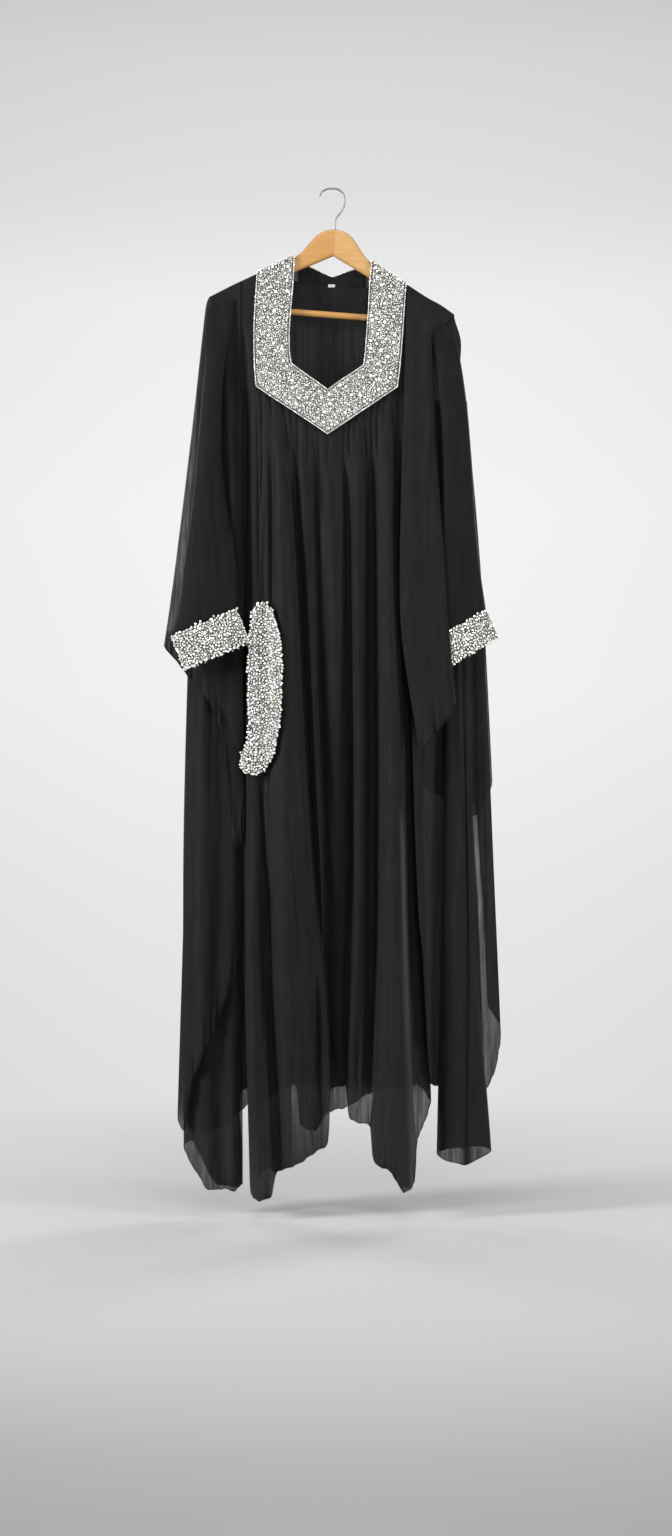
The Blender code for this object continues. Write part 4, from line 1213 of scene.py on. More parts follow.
def in_view(pixels: Sequence[tuple[float, float]], out: float) -> np.ndarray:
    """Points across and up in millimetres for places seen in the picture's frame.

    Args:
        pixels: The places.
        out: How far in front they lie.

    Returns:
        One point for each place.
    """
    places = np.array(pixels, float) - VIEW_MIDDLE
    scale = VIEW_SCALE * (1 - out / VIEW_FAR)
    return np.stack([VIEW_X + places[:, 0] * scale, VIEW_Z - places[:, 1] * scale], axis=1)


def mark_plies(piece: Piece, node: str) -> None:
    """Writes how deep each point lies in the doubled and in the thinnest areas, in millimetres.

    Args:
        piece: The cloth.
        node: Its name in the tables of areas.
    """
    mesh = piece.data
    count = len(mesh.vertices)
    points = np.empty(count * 3, np.float32)
    mesh.vertices.foreach_get("co", points)
    flat = points.reshape(-1, 3)[:, [0, 2]].astype(float) / MM
    for name, areas in (("doubled", DOUBLED), ("thin", THIN)):
        deep = np.full(count, -PLY_REACH)
        for out, soft, pixels in areas.get(node, ()):
            deep = np.maximum(deep, inside_by(flat, in_view(pixels, out)) / soft)
        found = mesh.attributes.new(name, "FLOAT", "POINT")
        found.data.foreach_set("value", np.clip(deep, -PLY_REACH, PLY_REACH).astype(np.float32))


def mark_dense(piece: Piece) -> None:
    """Marks a piece as doubled all over, as a rolled hem is.

    Args:
        piece: The hem.
    """
    mesh = piece.data
    found = mesh.attributes.new("doubled", "FLOAT", "POINT")
    found.data.foreach_set("value", np.full(len(mesh.vertices), PLY_REACH, np.float32))


def settle(piece: Piece, material: Material, nodes: Sequence[str] = ()) -> Piece:
    """Gives a piece its finish and ties it to the frame.

    Args:
        piece: The new piece.
        material: Its material.
        nodes: CAD nodes that it stands for.

    Returns:
        The piece.
    """
    piece.data.materials.clear()
    piece.data.materials.append(material)
    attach(piece, "root")
    if nodes:
        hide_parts(*nodes)
    triangles = sum(len(p.vertices) - 2 for p in piece.data.polygons)
    log.info("%s: %d triangles", piece.name, triangles)
    return piece


@dataclass
class Sheet:
    """One cloth piece: a thin shell on its solid's form, with a rolled hem.

    Args:
        node: The CAD node that it stands for.
        grid: Points as rows down and columns across.
        rests_on: Nodes that it hangs from or is sewn to; not used.
        closed: Whether it is a tube.
        keep: The cells that are cloth.
        thick: The shell's thickness.
        hem_edges: Which edges have a rolled hem: bottom, left, right.
    """

    node: str
    grid: Grid
    rests_on: Sequence[str]
    closed: bool = False
    keep: np.ndarray | None = None
    thick: float = SHELL
    hem_edges: str = "bottom"

    def hem_paths(self) -> list[Grid]:
        """Lines of the hems that it has.

        Returns:
            One line for each hem.
        """
        grid, paths = self.grid, []
        if "bottom" in self.hem_edges:
            line = grid[-1]
            paths.append(np.concatenate([line, line[:1]]) if self.closed else line)
        if "left" in self.hem_edges:
            paths.append(grid[FINE_SIDE_ROWS:, 0])
        if "right" in self.hem_edges:
            paths.append(grid[FINE_SIDE_ROWS:, -1])
        return paths

    def flat_size(self) -> tuple[float, float]:
        """The cut's width and length in metres, each at its largest.

        Returns:
            The width and the length.
        """
        across = step_lengths(ringed(self.grid, self.closed)[..., :2], 1).sum(axis=1).max()
        down = step_lengths(self.grid).sum(axis=0).max()
        return (round(float(across) * MM, 3), round(float(down) * MM, 3))

    def build(self, cloth: Material) -> None:
        """Args:
            cloth: Its material.
        """
        shell, area = add_shell(self.node + "_cloth", self.grid, self.thick, self.closed, self.keep)
        settle(shell, cloth, [self.node])
        mark_plies(shell, self.node)
        if self.hem_edges:
            hem = add_roll(self.node + "_hem", self.hem_paths(), HEM_RADIUS)
            mark_dense(hem)
            settle(hem, cloth)
        self.declare(shell, area)

    def declare(self, shell: Piece, area: float) -> None:
        """Args:
            shell: The cloth.
            area: Surface of one side in square metres.
        """
        width, length = self.flat_size()
        log.info("%s: cut %.3f x %.3f m, %.3f m2", shell.name, width, length, area)


def lip_row(sign: int, lift: float) -> Callable[[np.ndarray], tuple]:
    """The point over the hanger's arm that starts a fold line.

    Args:
        sign: 1 in front, -1 behind.
        lift: How far it lies above the plain crest.

    Returns:
        A function that gives the point.
    """
    def point(line: np.ndarray) -> Triple:
        """Point where the fold line crosses the arm's upper edge."""
        return (line[0], -sign * LIP, crest(line[0], lift))
    return point


def wing_crest(line: np.ndarray) -> Triple:
    """The left wing's fold over the arm: its lips meet, and it turns at the outline."""
    return (line[0], -LIP * float(np.clip(line[4] / FIRST_OUT, -1, 1)), crest(line[0]))


@dataclass
class Gown:
    """Front and back of the gown, from the shoulder to the handkerchief hem."""

    front_steps: int = 10
    back_steps: int = 9
    front_rows: int = 150
    back_rows: int = 96
    ripple: float = 2.7
    front: Grid = field(init=False)

    def panel(self, folds: Sequence[Fold], edges: tuple[int, int], sign: int, steps: int,
              rows: int) -> tuple[Grid, np.ndarray]:
        """Grid and kept cells of a gown panel with a neck opening between two fold lines.

        Args:
            folds: The panel's fold table.
            edges: Numbers of the fold lines at the sides of the opening.
            sign: 1 in front, -1 behind.
            steps: Places between two fold lines.
            rows: Steps down from the yoke to the hem.

        Returns:
            The grid and which of its cells are cloth.
        """
        first, last = edges[0] * steps, edges[1] * steps
        columns = []
        for j, line in enumerate(refine([f[1:] for f in folds], steps)):
            columns.append(self.column(line, first < j < last, sign, rows))
        points = np.array(columns).transpose(1, 0, 2)
        keep = np.ones((points.shape[0] - 1, points.shape[1] - 1), bool)
        keep[: FINE_SIDE_ROWS + 1, first:last] = False
        return points, keep

    def column(self, line: np.ndarray, middle: bool, sign: int, rows: int) -> Grid:
        """Points down one fold line, from the arm's crest to the hem.

        Args:
            line: The fold line's numbers.
            middle: Whether it lies under the neck opening.
            sign: 1 in front, -1 behind.
            rows: Steps down from the yoke to the hem.

        Returns:
            One point for each row.
        """
        x, hem_z, top_z = line[0], line[8], crest(line[0]) - CREST_DROP
        if sign > 0:
            yoke_z = band_edge(x) + BAND_TUCK if middle else YOKE_Z
            out_yoke = min(line[4], under_band(yoke_z))
        else:
            yoke_z = seam_height(x) if middle else crest(x) - BACK_SIDE_DEEP
            out_yoke = -back_neck_out(x)
        heights = top_z + (yoke_z - top_z) * even(FINE_SIDE_ROWS)
        upper = fold_points(heights, [(top_z, x, sign * FIRST_OUT), (yoke_z, x, out_yoke)])
        if sign > 0:
            upper[:, 1] = -np.minimum(-upper[:, 1], under_band(upper[:, 2]))
        keys = [(yoke_z, x, out_yoke), (BUST_Z, line[1], line[5]), (KNEE_Z, line[2], line[6]),
                (hem_z, line[3], line[7])]
        if middle and sign > 0:
            edge_z = yoke_z - BAND_TUCK
            keys.append((edge_z, x, under_band(edge_z) - UNDER_EDGE))
        if sign < 0:
            keys.append((ARMHOLE_Z, x, -back_neck_out(x) - BACK_LEAN))
        lower = fold_points(yoke_z + (hem_z - yoke_z) * even(rows), keys)
        return np.vstack([[(x, -sign * LIP, crest(x))], upper, lower[1:]])

    def seam_lips(self, points: Grid, sign: int) -> Grid:
        """Sets a panel's side edges face to face with the other panel's, below the armhole.

        Args:
            points: The panel's grid.
            sign: 1 in front, -1 behind.

        Returns:
            The grid, changed in place.
        """
        joined = np.clip((ARMHOLE_Z - points[:, [0, -1], 2]) / (ARMHOLE_Z - BUST_Z), 0, 1)
        points[:, [0, -1], 1] -= sign * LIP * joined
        return points

    def build(self, cloth: Material) -> None:
        """Makes both panels; the front's grid is kept for what lies on it.

        Args:
            cloth: Its material.
        """
        front, keep = self.panel(GOWN_FRONT, (FRONT_LEFT_EDGE, FRONT_RIGHT_EDGE), 1,
                                 self.front_steps, self.front_rows)
        front = press_lines(press(self.seam_lips(front, 1), FRONT_CREASES), FOLD_LINES)
        front = ripple_hem(front, self.ripple, 11)
        self.front = front
        Sheet("gown_front", front, ["hanger_left", "hanger_right"], keep=keep).build(cloth)
        back, keep = self.panel(GOWN_BACK, (BACK_LEFT_EDGE, BACK_RIGHT_EDGE), -1,
                                self.back_steps, self.back_rows)
        back = ripple_hem(press(self.seam_lips(back, -1), BACK_CREASES), self.ripple, 12)
        Sheet("gown_back", back, ["hanger_left", "hanger_right"], keep=keep).build(cloth)


@dataclass
class SidePieces:
    """Gores, the layers over them and the wings."""

    steps: int = 9
    rows: int = 100
    ripple: float = 2.8

    def build(self, cloth: Material) -> None:
        """Makes every side piece.

        Args:
            cloth: Its material.
        """
        levels = (ELBOW_Z, KNEE_Z)
        sewn = ["gown_front", "gown_back"]
        long = [
            ("gore_left", GORE_LEFT, GORE_LEFT_TOP, False, "bottom"),
            ("over_left", OVER_LEFT, OVER_LEFT_TOP, False, "bottom right"),
            ("over_right", OVER_RIGHT, OVER_RIGHT_TOP, False, "bottom right"),
            ("gore_right", GORE_RIGHT, GORE_RIGHT_TOP, True, "bottom"),
        ]
        for seed, (node, folds, top, closed, hems) in enumerate(long):
            grid = drape(folds, lambda f, z=top: z, levels, self.rows, self.steps, closed)
            grid = press(grid, SIDE_CREASES.get(node, ()))
            if not closed:
                grid = ripple_hem(grid, self.ripple, 20 + seed)
            Sheet(node, grid, sewn, closed=closed, hem_edges=hems).build(cloth)
        self.build_wings(cloth)

    def build_wings(self, cloth: Material) -> None:
        """Makes the cape sleeves over the hanger's arms.

        Args:
            cloth: Its material.
        """
        wings = [
            ("wing_left", WING_LEFT, lambda f: crest(f.x_top) - CREST_DROP,
             (WING_LEFT_UPPER_Z, WING_LOWER_Z), wing_crest, "hanger_left", "bottom"),
            ("wing_right_front", WING_RIGHT_FRONT, wing_top,
             (WING_FRONT_UPPER_Z, WING_LOWER_Z), lip_row(1, WING_LIFT), "hanger_right",
             "bottom left"),
            ("wing_right_back", WING_RIGHT_BACK, wing_top,
             (WING_BACK_UPPER_Z, WING_BACK_LOWER_Z), lip_row(-1, WING_LIFT), "hanger_right",
             "bottom right"),
        ]
        for seed, (node, folds, top, levels, crest_row, arm, hems) in enumerate(wings):
            grid = drape(folds, top, levels, self.rows, self.steps, crest_row=crest_row)
            grid = round_shoulder(grid, SHOULDERS[node])
            grid = press(grid, SIDE_CREASES.get(node, ()))
            grid = ripple_hem(grid, self.ripple, 30 + seed)
            Sheet(node, grid, [arm], hem_edges=hems).build(cloth)


def wing_top(fold: Fold) -> float:
    """Height of the right wing's first row below the fold over the arm."""
    return crest(fold.x_top, WING_LIFT) - CREST_DROP


# Beaded pieces
# How close two beads may lie, as a share of both their sizes
CLEAR = 0.47
# How much beads lean, vary in size and stand out of the cloth
BORDER_LEAN, FIELD_LEAN = 0.1, 0.3
SIZE_SPREAD = (0.85, 1.12)
STAND = 0.3
# Soft clouds of tone over a field: their reach, mean and strength
CLOUD_REACH, CLOUD_MEAN, CLOUD_DEPTH = (2.2, 3.4), 0.86, 0.38
# How many places are looked up at once
CHUNK = 500
# Width of a cut gem's top as a share of its foot
GEM_TOP = 0.55


@dataclass(frozen=True)
class Bead:
    """One kind of bead: its shape, how big and how flat it is, its tones and how close it lies."""

    shape: str
    size: float
    flat: float
    tone: tuple[float, float]
    room: float
    tries: float = 9.0


@dataclass(frozen=True)
class BeadMix:
    """The beads of a field, the largest first, and the bead of its borders."""

    field: tuple[Bead, ...]
    border: Bead
    pitch: float
    wander: float = 0.0
    clear: float = CLEAR


NECK_MIX = BeadMix((
    Bead("gem", 6.4, 0.5, (0.95, 1.0), 14.0, 1.2),
    Bead("gem", 3.8, 0.6, (0.6, 1.0), 5.4, 2.5),
    Bead("pearl", 2.7, 0.8, (0.3, 1.0), 2.9, 7.0),
    Bead("gem", 2.0, 0.7, (0.05, 0.75), 2.2, 8.0),
), Bead("pearl", 2.4, 0.9, (0.85, 1.0), 2.4), 2.9, clear=0.68)
ROUND_MIX = BeadMix((
    Bead("pearl", 5.2, 0.85, (0.9, 1.0), 8.0, 3.0),
    Bead("pearl", 3.8, 0.9, (0.5, 1.0), 4.1, 6.0),
    Bead("pearl", 2.8, 0.9, (0.24, 0.98), 3.0, 8.0),
    Bead("gem", 2.1, 0.8, (0.05, 0.7), 2.4, 6.0),
), Bead("pearl", 4.4, 0.9, (0.6, 1.0), 4.4), 4.8, 1.2)
# A lattice cell with the cells round it
NEIGHBOURS = [(x, y, z) for x in (-1, 0, 1) for y in (-1, 0, 1) for z in (-1, 0, 1)]


def bead_shapes() -> dict[str, tuple[np.ndarray, np.ndarray]]:
    """Models one cut gem and one pearl, each one millimetre across.

    Returns:
        Points and triangles of each shape.
    """
    found = {}
    for name in ("gem", "pearl"):
        bpy.ops.object.select_all(action="DESELECT")
        if name == "pearl":
            bpy.ops.mesh.primitive_ico_sphere_add(subdivisions=1, radius=0.5)
        else:
            bpy.ops.mesh.primitive_cylinder_add(vertices=6, radius=0.5, depth=0.5)
            bpy.ops.object.mode_set(mode="EDIT")
            bpy.ops.mesh.select_mode(type="FACE")
            bpy.ops.mesh.select_all(action="DESELECT")
            bpy.ops.object.mode_set(mode="OBJECT")
            for face in bpy.context.object.data.polygons:
                face.select = face.normal.z > 0.9
            bpy.ops.object.mode_set(mode="EDIT")
            bpy.ops.transform.resize(value=(GEM_TOP, GEM_TOP, 1.0))
            bpy.ops.object.mode_set(mode="OBJECT")
        shape = bpy.context.object
        mesh = shape.data
        mesh.calc_loop_triangles()
        points = np.array([v.co for v in mesh.vertices])
        triangles = np.array([t.vertices[:] for t in mesh.loop_triangles])
        bpy.data.objects.remove(shape, do_unlink=True)
        bpy.data.meshes.remove(mesh)
        found[name] = (points, triangles)
    return found


@dataclass
class BeadField:
    """A close, uneven field of beads over a cloth band, with a row of beads along its borders.

    Args:
        name: Name of the piece.
        grid: Points of the band's outer surface, as rows and columns.
        facing: 1 where the grid's normals point to the side that shows, -1 where they don't.
        mix: The beads.
        seed: Makes each band its own.
        closed: Whether the grid is a tube.
        borders: Lines of beads.
    """

    name: str
    grid: Grid
    facing: int
    mix: BeadMix
    seed: int
    closed: bool = False
    borders: Sequence[Grid] = ()

    def border_places(self, rng: np.random.Generator) -> np.ndarray:
        """Nearly even places along each border line.

        Args:
            rng: Where the chance comes from.

        Returns:
            The places.
        """
        found = [np.empty((0, 3))]
        for line in self.borders:
            along = distance_along(line)
            count = max(2, int(along[-1] / self.mix.pitch))
            at = np.linspace(0, along[-1], count)
            places = np.stack([np.interp(at, along, line[:, k]) for k in range(3)], axis=1)
            places[:, [0, 2]] += rng.normal(0, self.mix.wander, (count, 2))
            found.append(places)
        return np.concatenate(found)

    def candidates(self, rng: np.random.Generator, spacing: float, tries: float) -> np.ndarray:
        """Random places on the surface, as many for each equal patch of it.

        Args:
            rng: Where the chance comes from.
            spacing: Least distance between two beads of this kind.
            tries: How many places are tried for each bead that would fit.

        Returns:
            The places.
        """
        ring = ringed(self.grid, self.closed)
        a, b = ring[:-1, :-1], ring[1:, :-1]
        c, d = ring[1:, 1:], ring[:-1, 1:]
        size = np.linalg.norm(np.cross(c - a, d - b), axis=2).ravel() / 2
        count = int(size.sum() / spacing**2 * tries)
        cell = rng.choice(len(size), count, p=size / size.sum())
        s, t = rng.random((2, count, 1))
        flat = [corner.reshape(-1, 3)[cell] for corner in (a, b, c, d)]
        return (flat[0] * (1 - s) + flat[1] * s) * (1 - t) + (flat[3] * (1 - s) + flat[2] * s) * t

    def places(self, rng: np.random.Generator) -> tuple[np.ndarray, list[Bead]]:
        """Places of all beads, borders first, with the kind of each.

        Args:
            rng: Where the chance comes from.

        Returns:
            The places and kinds.
        """
        kept = list(self.border_places(rng))
        kinds = [self.mix.border] * len(kept)
        size = max(bead.size for bead in self.mix.field)
        taken: dict[tuple, list[tuple]] = {}

        def cell_of(place: np.ndarray) -> tuple[int, int, int]:
            """The cell of a coarse lattice that holds a place."""
            return tuple(np.floor(place / size).astype(int))

        def free(place: np.ndarray, bead: Bead) -> bool:
            """Whether no bead lies too close to a place.

            Args:
                place: The place.
                bead: The kind that would lie there.

            Returns:
                True where it is free.
            """
            x, y, z = cell_of(place)
            for dx, dy, dz in NEIGHBOURS:
                for other, kind in taken.get((x + dx, y + dy, z + dz), ()):
                    share = self.mix.clear if kind is self.mix.border else CLEAR
                    gap = bead.room if kind is bead else share * (kind.size + bead.size)
                    if ((place - other) ** 2).sum() < gap * gap:
                        return False
            return True

        for place, bead in zip(kept, kinds):
            taken.setdefault(cell_of(place), []).append((place, bead))
        for bead in self.mix.field:
            for place in self.candidates(rng, max(bead.size, bead.room), bead.tries):
                if free(place, bead):
                    taken.setdefault(cell_of(place), []).append((place, bead))
                    kept.append(place)
                    kinds.append(bead)
        return np.array(kept), kinds

    def leans(self, places: np.ndarray) -> np.ndarray:
        """The surface's normal at each place.

        Args:
            places: The places.

        Returns:
            One normal for each.
        """
        normal = front_normals(self.grid, self.closed).reshape(-1, 3) * self.facing
        flat = self.grid.reshape(-1, 3)
        found = np.empty_like(places)
        for start in range(0, len(places), CHUNK):
            part = places[start : start + CHUNK]
            near = ((part[:, None] - flat[None]) ** 2).sum(axis=2).argmin(axis=1)
            found[start : start + CHUNK] = normal[near]
        return found

    def build(self, shapes: dict, finish: Material) -> Piece:
        """Makes all beads as one mesh, with a tone from 0 to 1 on each.

        Args:
            shapes: Points and triangles of each shape.
            finish: Their material.

        Returns:
            The piece.
        """
        rng = np.random.default_rng(self.seed)
        places, kinds = self.places(rng)
        lean = self.leans(places)
        waves = places[:, [0, 2]] / rng.uniform(*CLOUD_REACH, 2) + rng.uniform(0, FULL_TURN, 2)
        cloud = CLOUD_MEAN + CLOUD_DEPTH * np.sin(waves[:, 0]) * np.sin(waves[:, 1])
        points, faces, tones, start = [], [], [], 0
        for place, bead, out, light in zip(places, kinds, lean, cloud):
            form, triangles = shapes[bead.shape]
            up = out + rng.normal(0, BORDER_LEAN if bead is self.mix.border else FIELD_LEAN, 3)
            up /= np.linalg.norm(up)
            side = np.cross(up, rng.normal(0, 1, 3))
            side /= np.linalg.norm(side)
            turn = np.stack([side, np.cross(up, side), up])
            size = bead.size * rng.uniform(*SIZE_SPREAD) * np.array([1, 1, bead.flat])
            middle = place + out * bead.size * bead.flat * STAND
            points.append(middle + (form * size) @ turn)
            faces.append(triangles + start)
            tones.append(np.full(len(form), min(1.0, light * rng.uniform(*bead.tone))))
            start += len(form)
        piece = make_object(self.name, np.concatenate(points), np.concatenate(faces))
        tone = piece.data.attributes.new("tone", "FLOAT", "POINT")
        tone.data.foreach_set("value", np.concatenate(tones).astype(np.float32))
        log.info("%s: %d beads", self.name, len(places))
        return settle(piece, finish)


def surface(grid: Grid, thick: float, closed: bool = False) -> Grid:
    """A grid moved to its shown side by half of thick; below zero to the other side."""
    return grid + front_normals(grid, closed) * thick / 2


@dataclass
class Beadwork:
    """Cloth bands with beads: neck band, cuffs and pocket edge."""

    backing: Material
    beads: Material

    def __post_init__(self) -> None:
        """Models the beads once."""
        self.shapes = bead_shapes()

    def band(self, node: str, grid: Grid, facing: int, seed: int, rests_on: Sequence[str],
             mix: BeadMix, closed: bool = False, lines: Sequence[Grid] = ()) -> None:
        """Makes one beaded band.

        Args:
            node: The CAD node that it stands for.
            grid: Points of the band's middle surface.
            facing: 1 where the grid's front is the side that shows, -1 where its back is.
            seed: Makes its beads its own.
            rests_on: What it is sewn to.
            mix: Its beads.
            closed: Whether it is a tube.
            lines: Border lines of pearls; the grid's own edges when left out.
        """
        sheet = Sheet(node, grid, rests_on, closed, thick=BAND_SHELL, hem_edges="")
        shown = surface(grid, BAND_SHELL * facing, closed)
        edges = lines or outline(shown, closed)
        edges = [np.concatenate([line, line[:1]]) for line in edges]
        shell, area = add_shell(node + "_cloth", grid, BAND_SHELL, closed)
        settle(shell, self.backing, [node])
        beads = BeadField(node + "_beads", shown, facing, mix, seed, closed, edges)
        beads = beads.build(self.shapes, self.beads)
        sheet.declare(shell, area)


@dataclass
class NeckPieces:
    """Band round the neck in front and behind, the facing inside its back and the label."""

    cells: int = 8
    finer: int = 3
    facing_rows: int = 8
    facing_finer: int = 8
    rim_rise: float = 1.5
    rim_apart: float = 0.9

    def shoulder(self, edges: tuple[float, float], sign: int) -> list[np.ndarray]:
        """The two first stations of a band, folded over the hanger's arm.

        Args:
            edges: Where its outer and inner edge cross the arm.
            sign: 1 in front, -1 behind.

        Returns:
            Points of both stations.
        """
        lip = SEAM_GAP / 2 + BAND / 2
        xs = np.linspace(edges[0], edges[1], self.cells + 1)
        over = [(x, -sign * lip, crest(x, BAND_LIFT)) for x in xs]
        below = [(x, -sign * BAND_OUT_TOP, crest(x, BAND_LIFT) - CREST_DROP) for x in xs]
        return [np.array(over), np.array(below)]

    def grid(self, stations: Sequence[Station], sign: int) -> Grid:
        """Points of a band's middle surface, shoulder to shoulder.

        Args:
            stations: The band's table.
            sign: 1 in front, -1 behind.

        Returns:
            The grid.
        """
        across = np.linspace(0, 1, self.cells + 1)
        rows = []
        for s in stations:
            x = s.outer_x + (s.inner_x - s.outer_x) * across
            z = s.outer_z + (s.inner_z - s.outer_z) * across
            if sign > 0:
                y = -band_out(z)
            else:
                lean = BACK_LEAN * np.clip((seam_height(x) - z) / BACK_LEAN_OVER, 0, BACK_LEAN_MOST)
                y = np.array([back_neck_out(v) for v in x]) + BACK_BAND_OUT + lean
            rows.append(np.stack([x, y, z], axis=1))
        left, right = (self.shoulder(e, sign) for e in (SHOULDER_LEFT, SHOULDER_RIGHT))
        return resample(np.array(left + rows + right[::-1]), self.finer, 2)

    def build(self, work: Beadwork, cloth: Material, label: Material) -> None:
        """Makes the neck's pieces.

        Args:
            work: Makes the beaded bands.
            cloth: Material of the facing.
            label: Material of the label.
        """
        sewn = ["gown_front", "hanger_left", "hanger_right"]
        work.band("neck_band_front", self.grid(NECK_FRONT, 1), 1, 41, sewn, NECK_MIX)
        back = self.grid(NECK_BACK, -1)
        lines = [*outline(back, False), self.rim(back)]
        work.band("neck_band_back", back, -1, 42, ["gown_back"], NECK_MIX, lines=lines)
        self.build_facing(cloth)
        self.build_label(label)

    def rim(self, back: Grid) -> Grid:
        """Two rows of beads along the top of the back neck, there and back.

        Args:
            back: The back band's grid.

        Returns:
            One closed line.
        """
        edge = back[self.finer : -self.finer, -1]
        inner = edge + (0, -self.rim_apart, self.rim_rise)
        outer = edge + (0, self.rim_apart, self.rim_rise)
        return np.concatenate([inner, outer[::-1]])

    def build_facing(self, cloth: Material) -> None:
        """Plain cloth inside the back neck, with a seam roll along its lower edge.

        Args:
            cloth: Its material.
        """
        columns = []
        for s in NECK_BACK:
            seam = seam_height(s.inner_x) + SEAM_GAP
            columns.append([(s.inner_x, back_neck_out(s.inner_x), s.inner_z + (seam - s.inner_z) * t)
                            for t in even(self.facing_rows)])
        grid = np.array(columns).transpose(1, 0, 2)
        grid = resample(grid, 1, self.facing_finer, smooth=True)
        Sheet("neck_facing", grid, ["gown_back"], thick=CLOTH).build(cloth)

    def build_label(self, finish: Material) -> None:
        """A small blank woven label with rounded edges.

        Args:
            finish: Its material.
        """
        bpy.ops.object.select_all(action="DESELECT")
        bpy.ops.mesh.primitive_cube_add(size=1)
        label = bpy.context.object
        label.name = "label_woven"
        label.data.transform(scale_and_move([v * MM for v in LABEL_SIZE],
                                            [v * MM for v in LABEL_AT]))
        bpy.ops.object.modifier_add(type="BEVEL")
        bevel = label.modifiers[-1]
        bevel.width, bevel.segments = LABEL_BEVEL * MM, 2
        bpy.ops.object.modifier_apply(modifier=bevel.name)
        settle(label, finish, ["label"])


def scale_and_move(size: Sequence[float], place: Sequence[float]) -> Matrix:
    """A matrix that scales, then moves."""
    return Matrix.Translation(place) @ Matrix.Diagonal((*size, 1.0))


@dataclass
class Sleeves:
    """Inner sleeves and the beaded cuffs at their ends."""

    columns: int = 56
    rows: int = 80
    cuff_rows: int = 13

    def build(self, work: Beadwork, cloth: Material) -> None:
        """Makes both sleeves and both cuffs.

        Args:
            work: Makes the beaded bands.
            cloth: Material of the sleeves.
        """
        sides = [
            ("left", SLEEVE_LEFT, CUFF_LEFT, "hanger_left", 51),
            ("right", SLEEVE_RIGHT, CUFF_RIGHT, "hanger_right", 52),
        ]
        for side, rings, cuff, arm, seed in sides:
            grid = tube(rings, self.columns, self.rows)
            Sheet("sleeve_" + side, grid, [arm], closed=True, hem_edges="").build(cloth)
            grid = tube(cuff, self.columns, self.cuff_rows)
            work.band("cuff_" + side, grid, self.outside(grid), seed, ["sleeve_" + side],
                      ROUND_MIX, True)

    def outside(self, grid: Grid) -> int:
        """1 where the grid's front normals point away from the tube's middle."""
        away = grid - grid.mean(axis=1, keepdims=True)
        return 1 if (front_normals(grid, True) * away).sum() > 0 else -1


@dataclass
class Pocket:
    """Beaded crescent at the pocket, lying on the gown front's folds."""

    across: int = 5
    finer: int = 3

    def grid(self, front: Grid) -> Grid:
        """Points of the crescent's middle surface.

        Args:
            front: The gown front's grid.

        Returns:
            The grid.
        """
        rows, columns = front.shape[:2]
        i, j = np.meshgrid(np.arange(rows // 4, rows * 3 // 4), np.arange(columns - 1),
                           indexing="ij")
        a = (i * columns + j).ravel()
        faces = np.stack([a, a + columns, a + columns + 1, a + 1], axis=1).tolist()
        tree = BVHTree.FromPolygons([Vector(p) for p in front.reshape(-1, 3)], faces)

        def gown_out(x: float, z: float) -> float:
            """How far the gown stands in front at a place."""
            hit = tree.ray_cast(Vector((x, FEEL_FROM, z)), Vector((0, 1, 0)))[0]
            return POCKET_MIN_OUT if hit is None else -hit.y

        nearby = [(dx, dz) for dx in FEEL_ACROSS for dz in FEEL_UP]
        found = []
        for row in POCKET:
            line = []
            for x in np.linspace(row.left, row.right, self.across + 1):
                out = max(gown_out(x + dx, row.z + dz) for dx, dz in nearby)
                line.append((x, -(out + POCKET_CLEAR), row.z))
            found.append(line)
        return resample(np.array(found), self.finer, self.finer)

    def build(self, work: Beadwork, front: Grid) -> None:
        """Makes the crescent."""
        work.band("pocket_band", self.grid(front), 1, 61, ["gown_front"], ROUND_MIX)


# Finishes


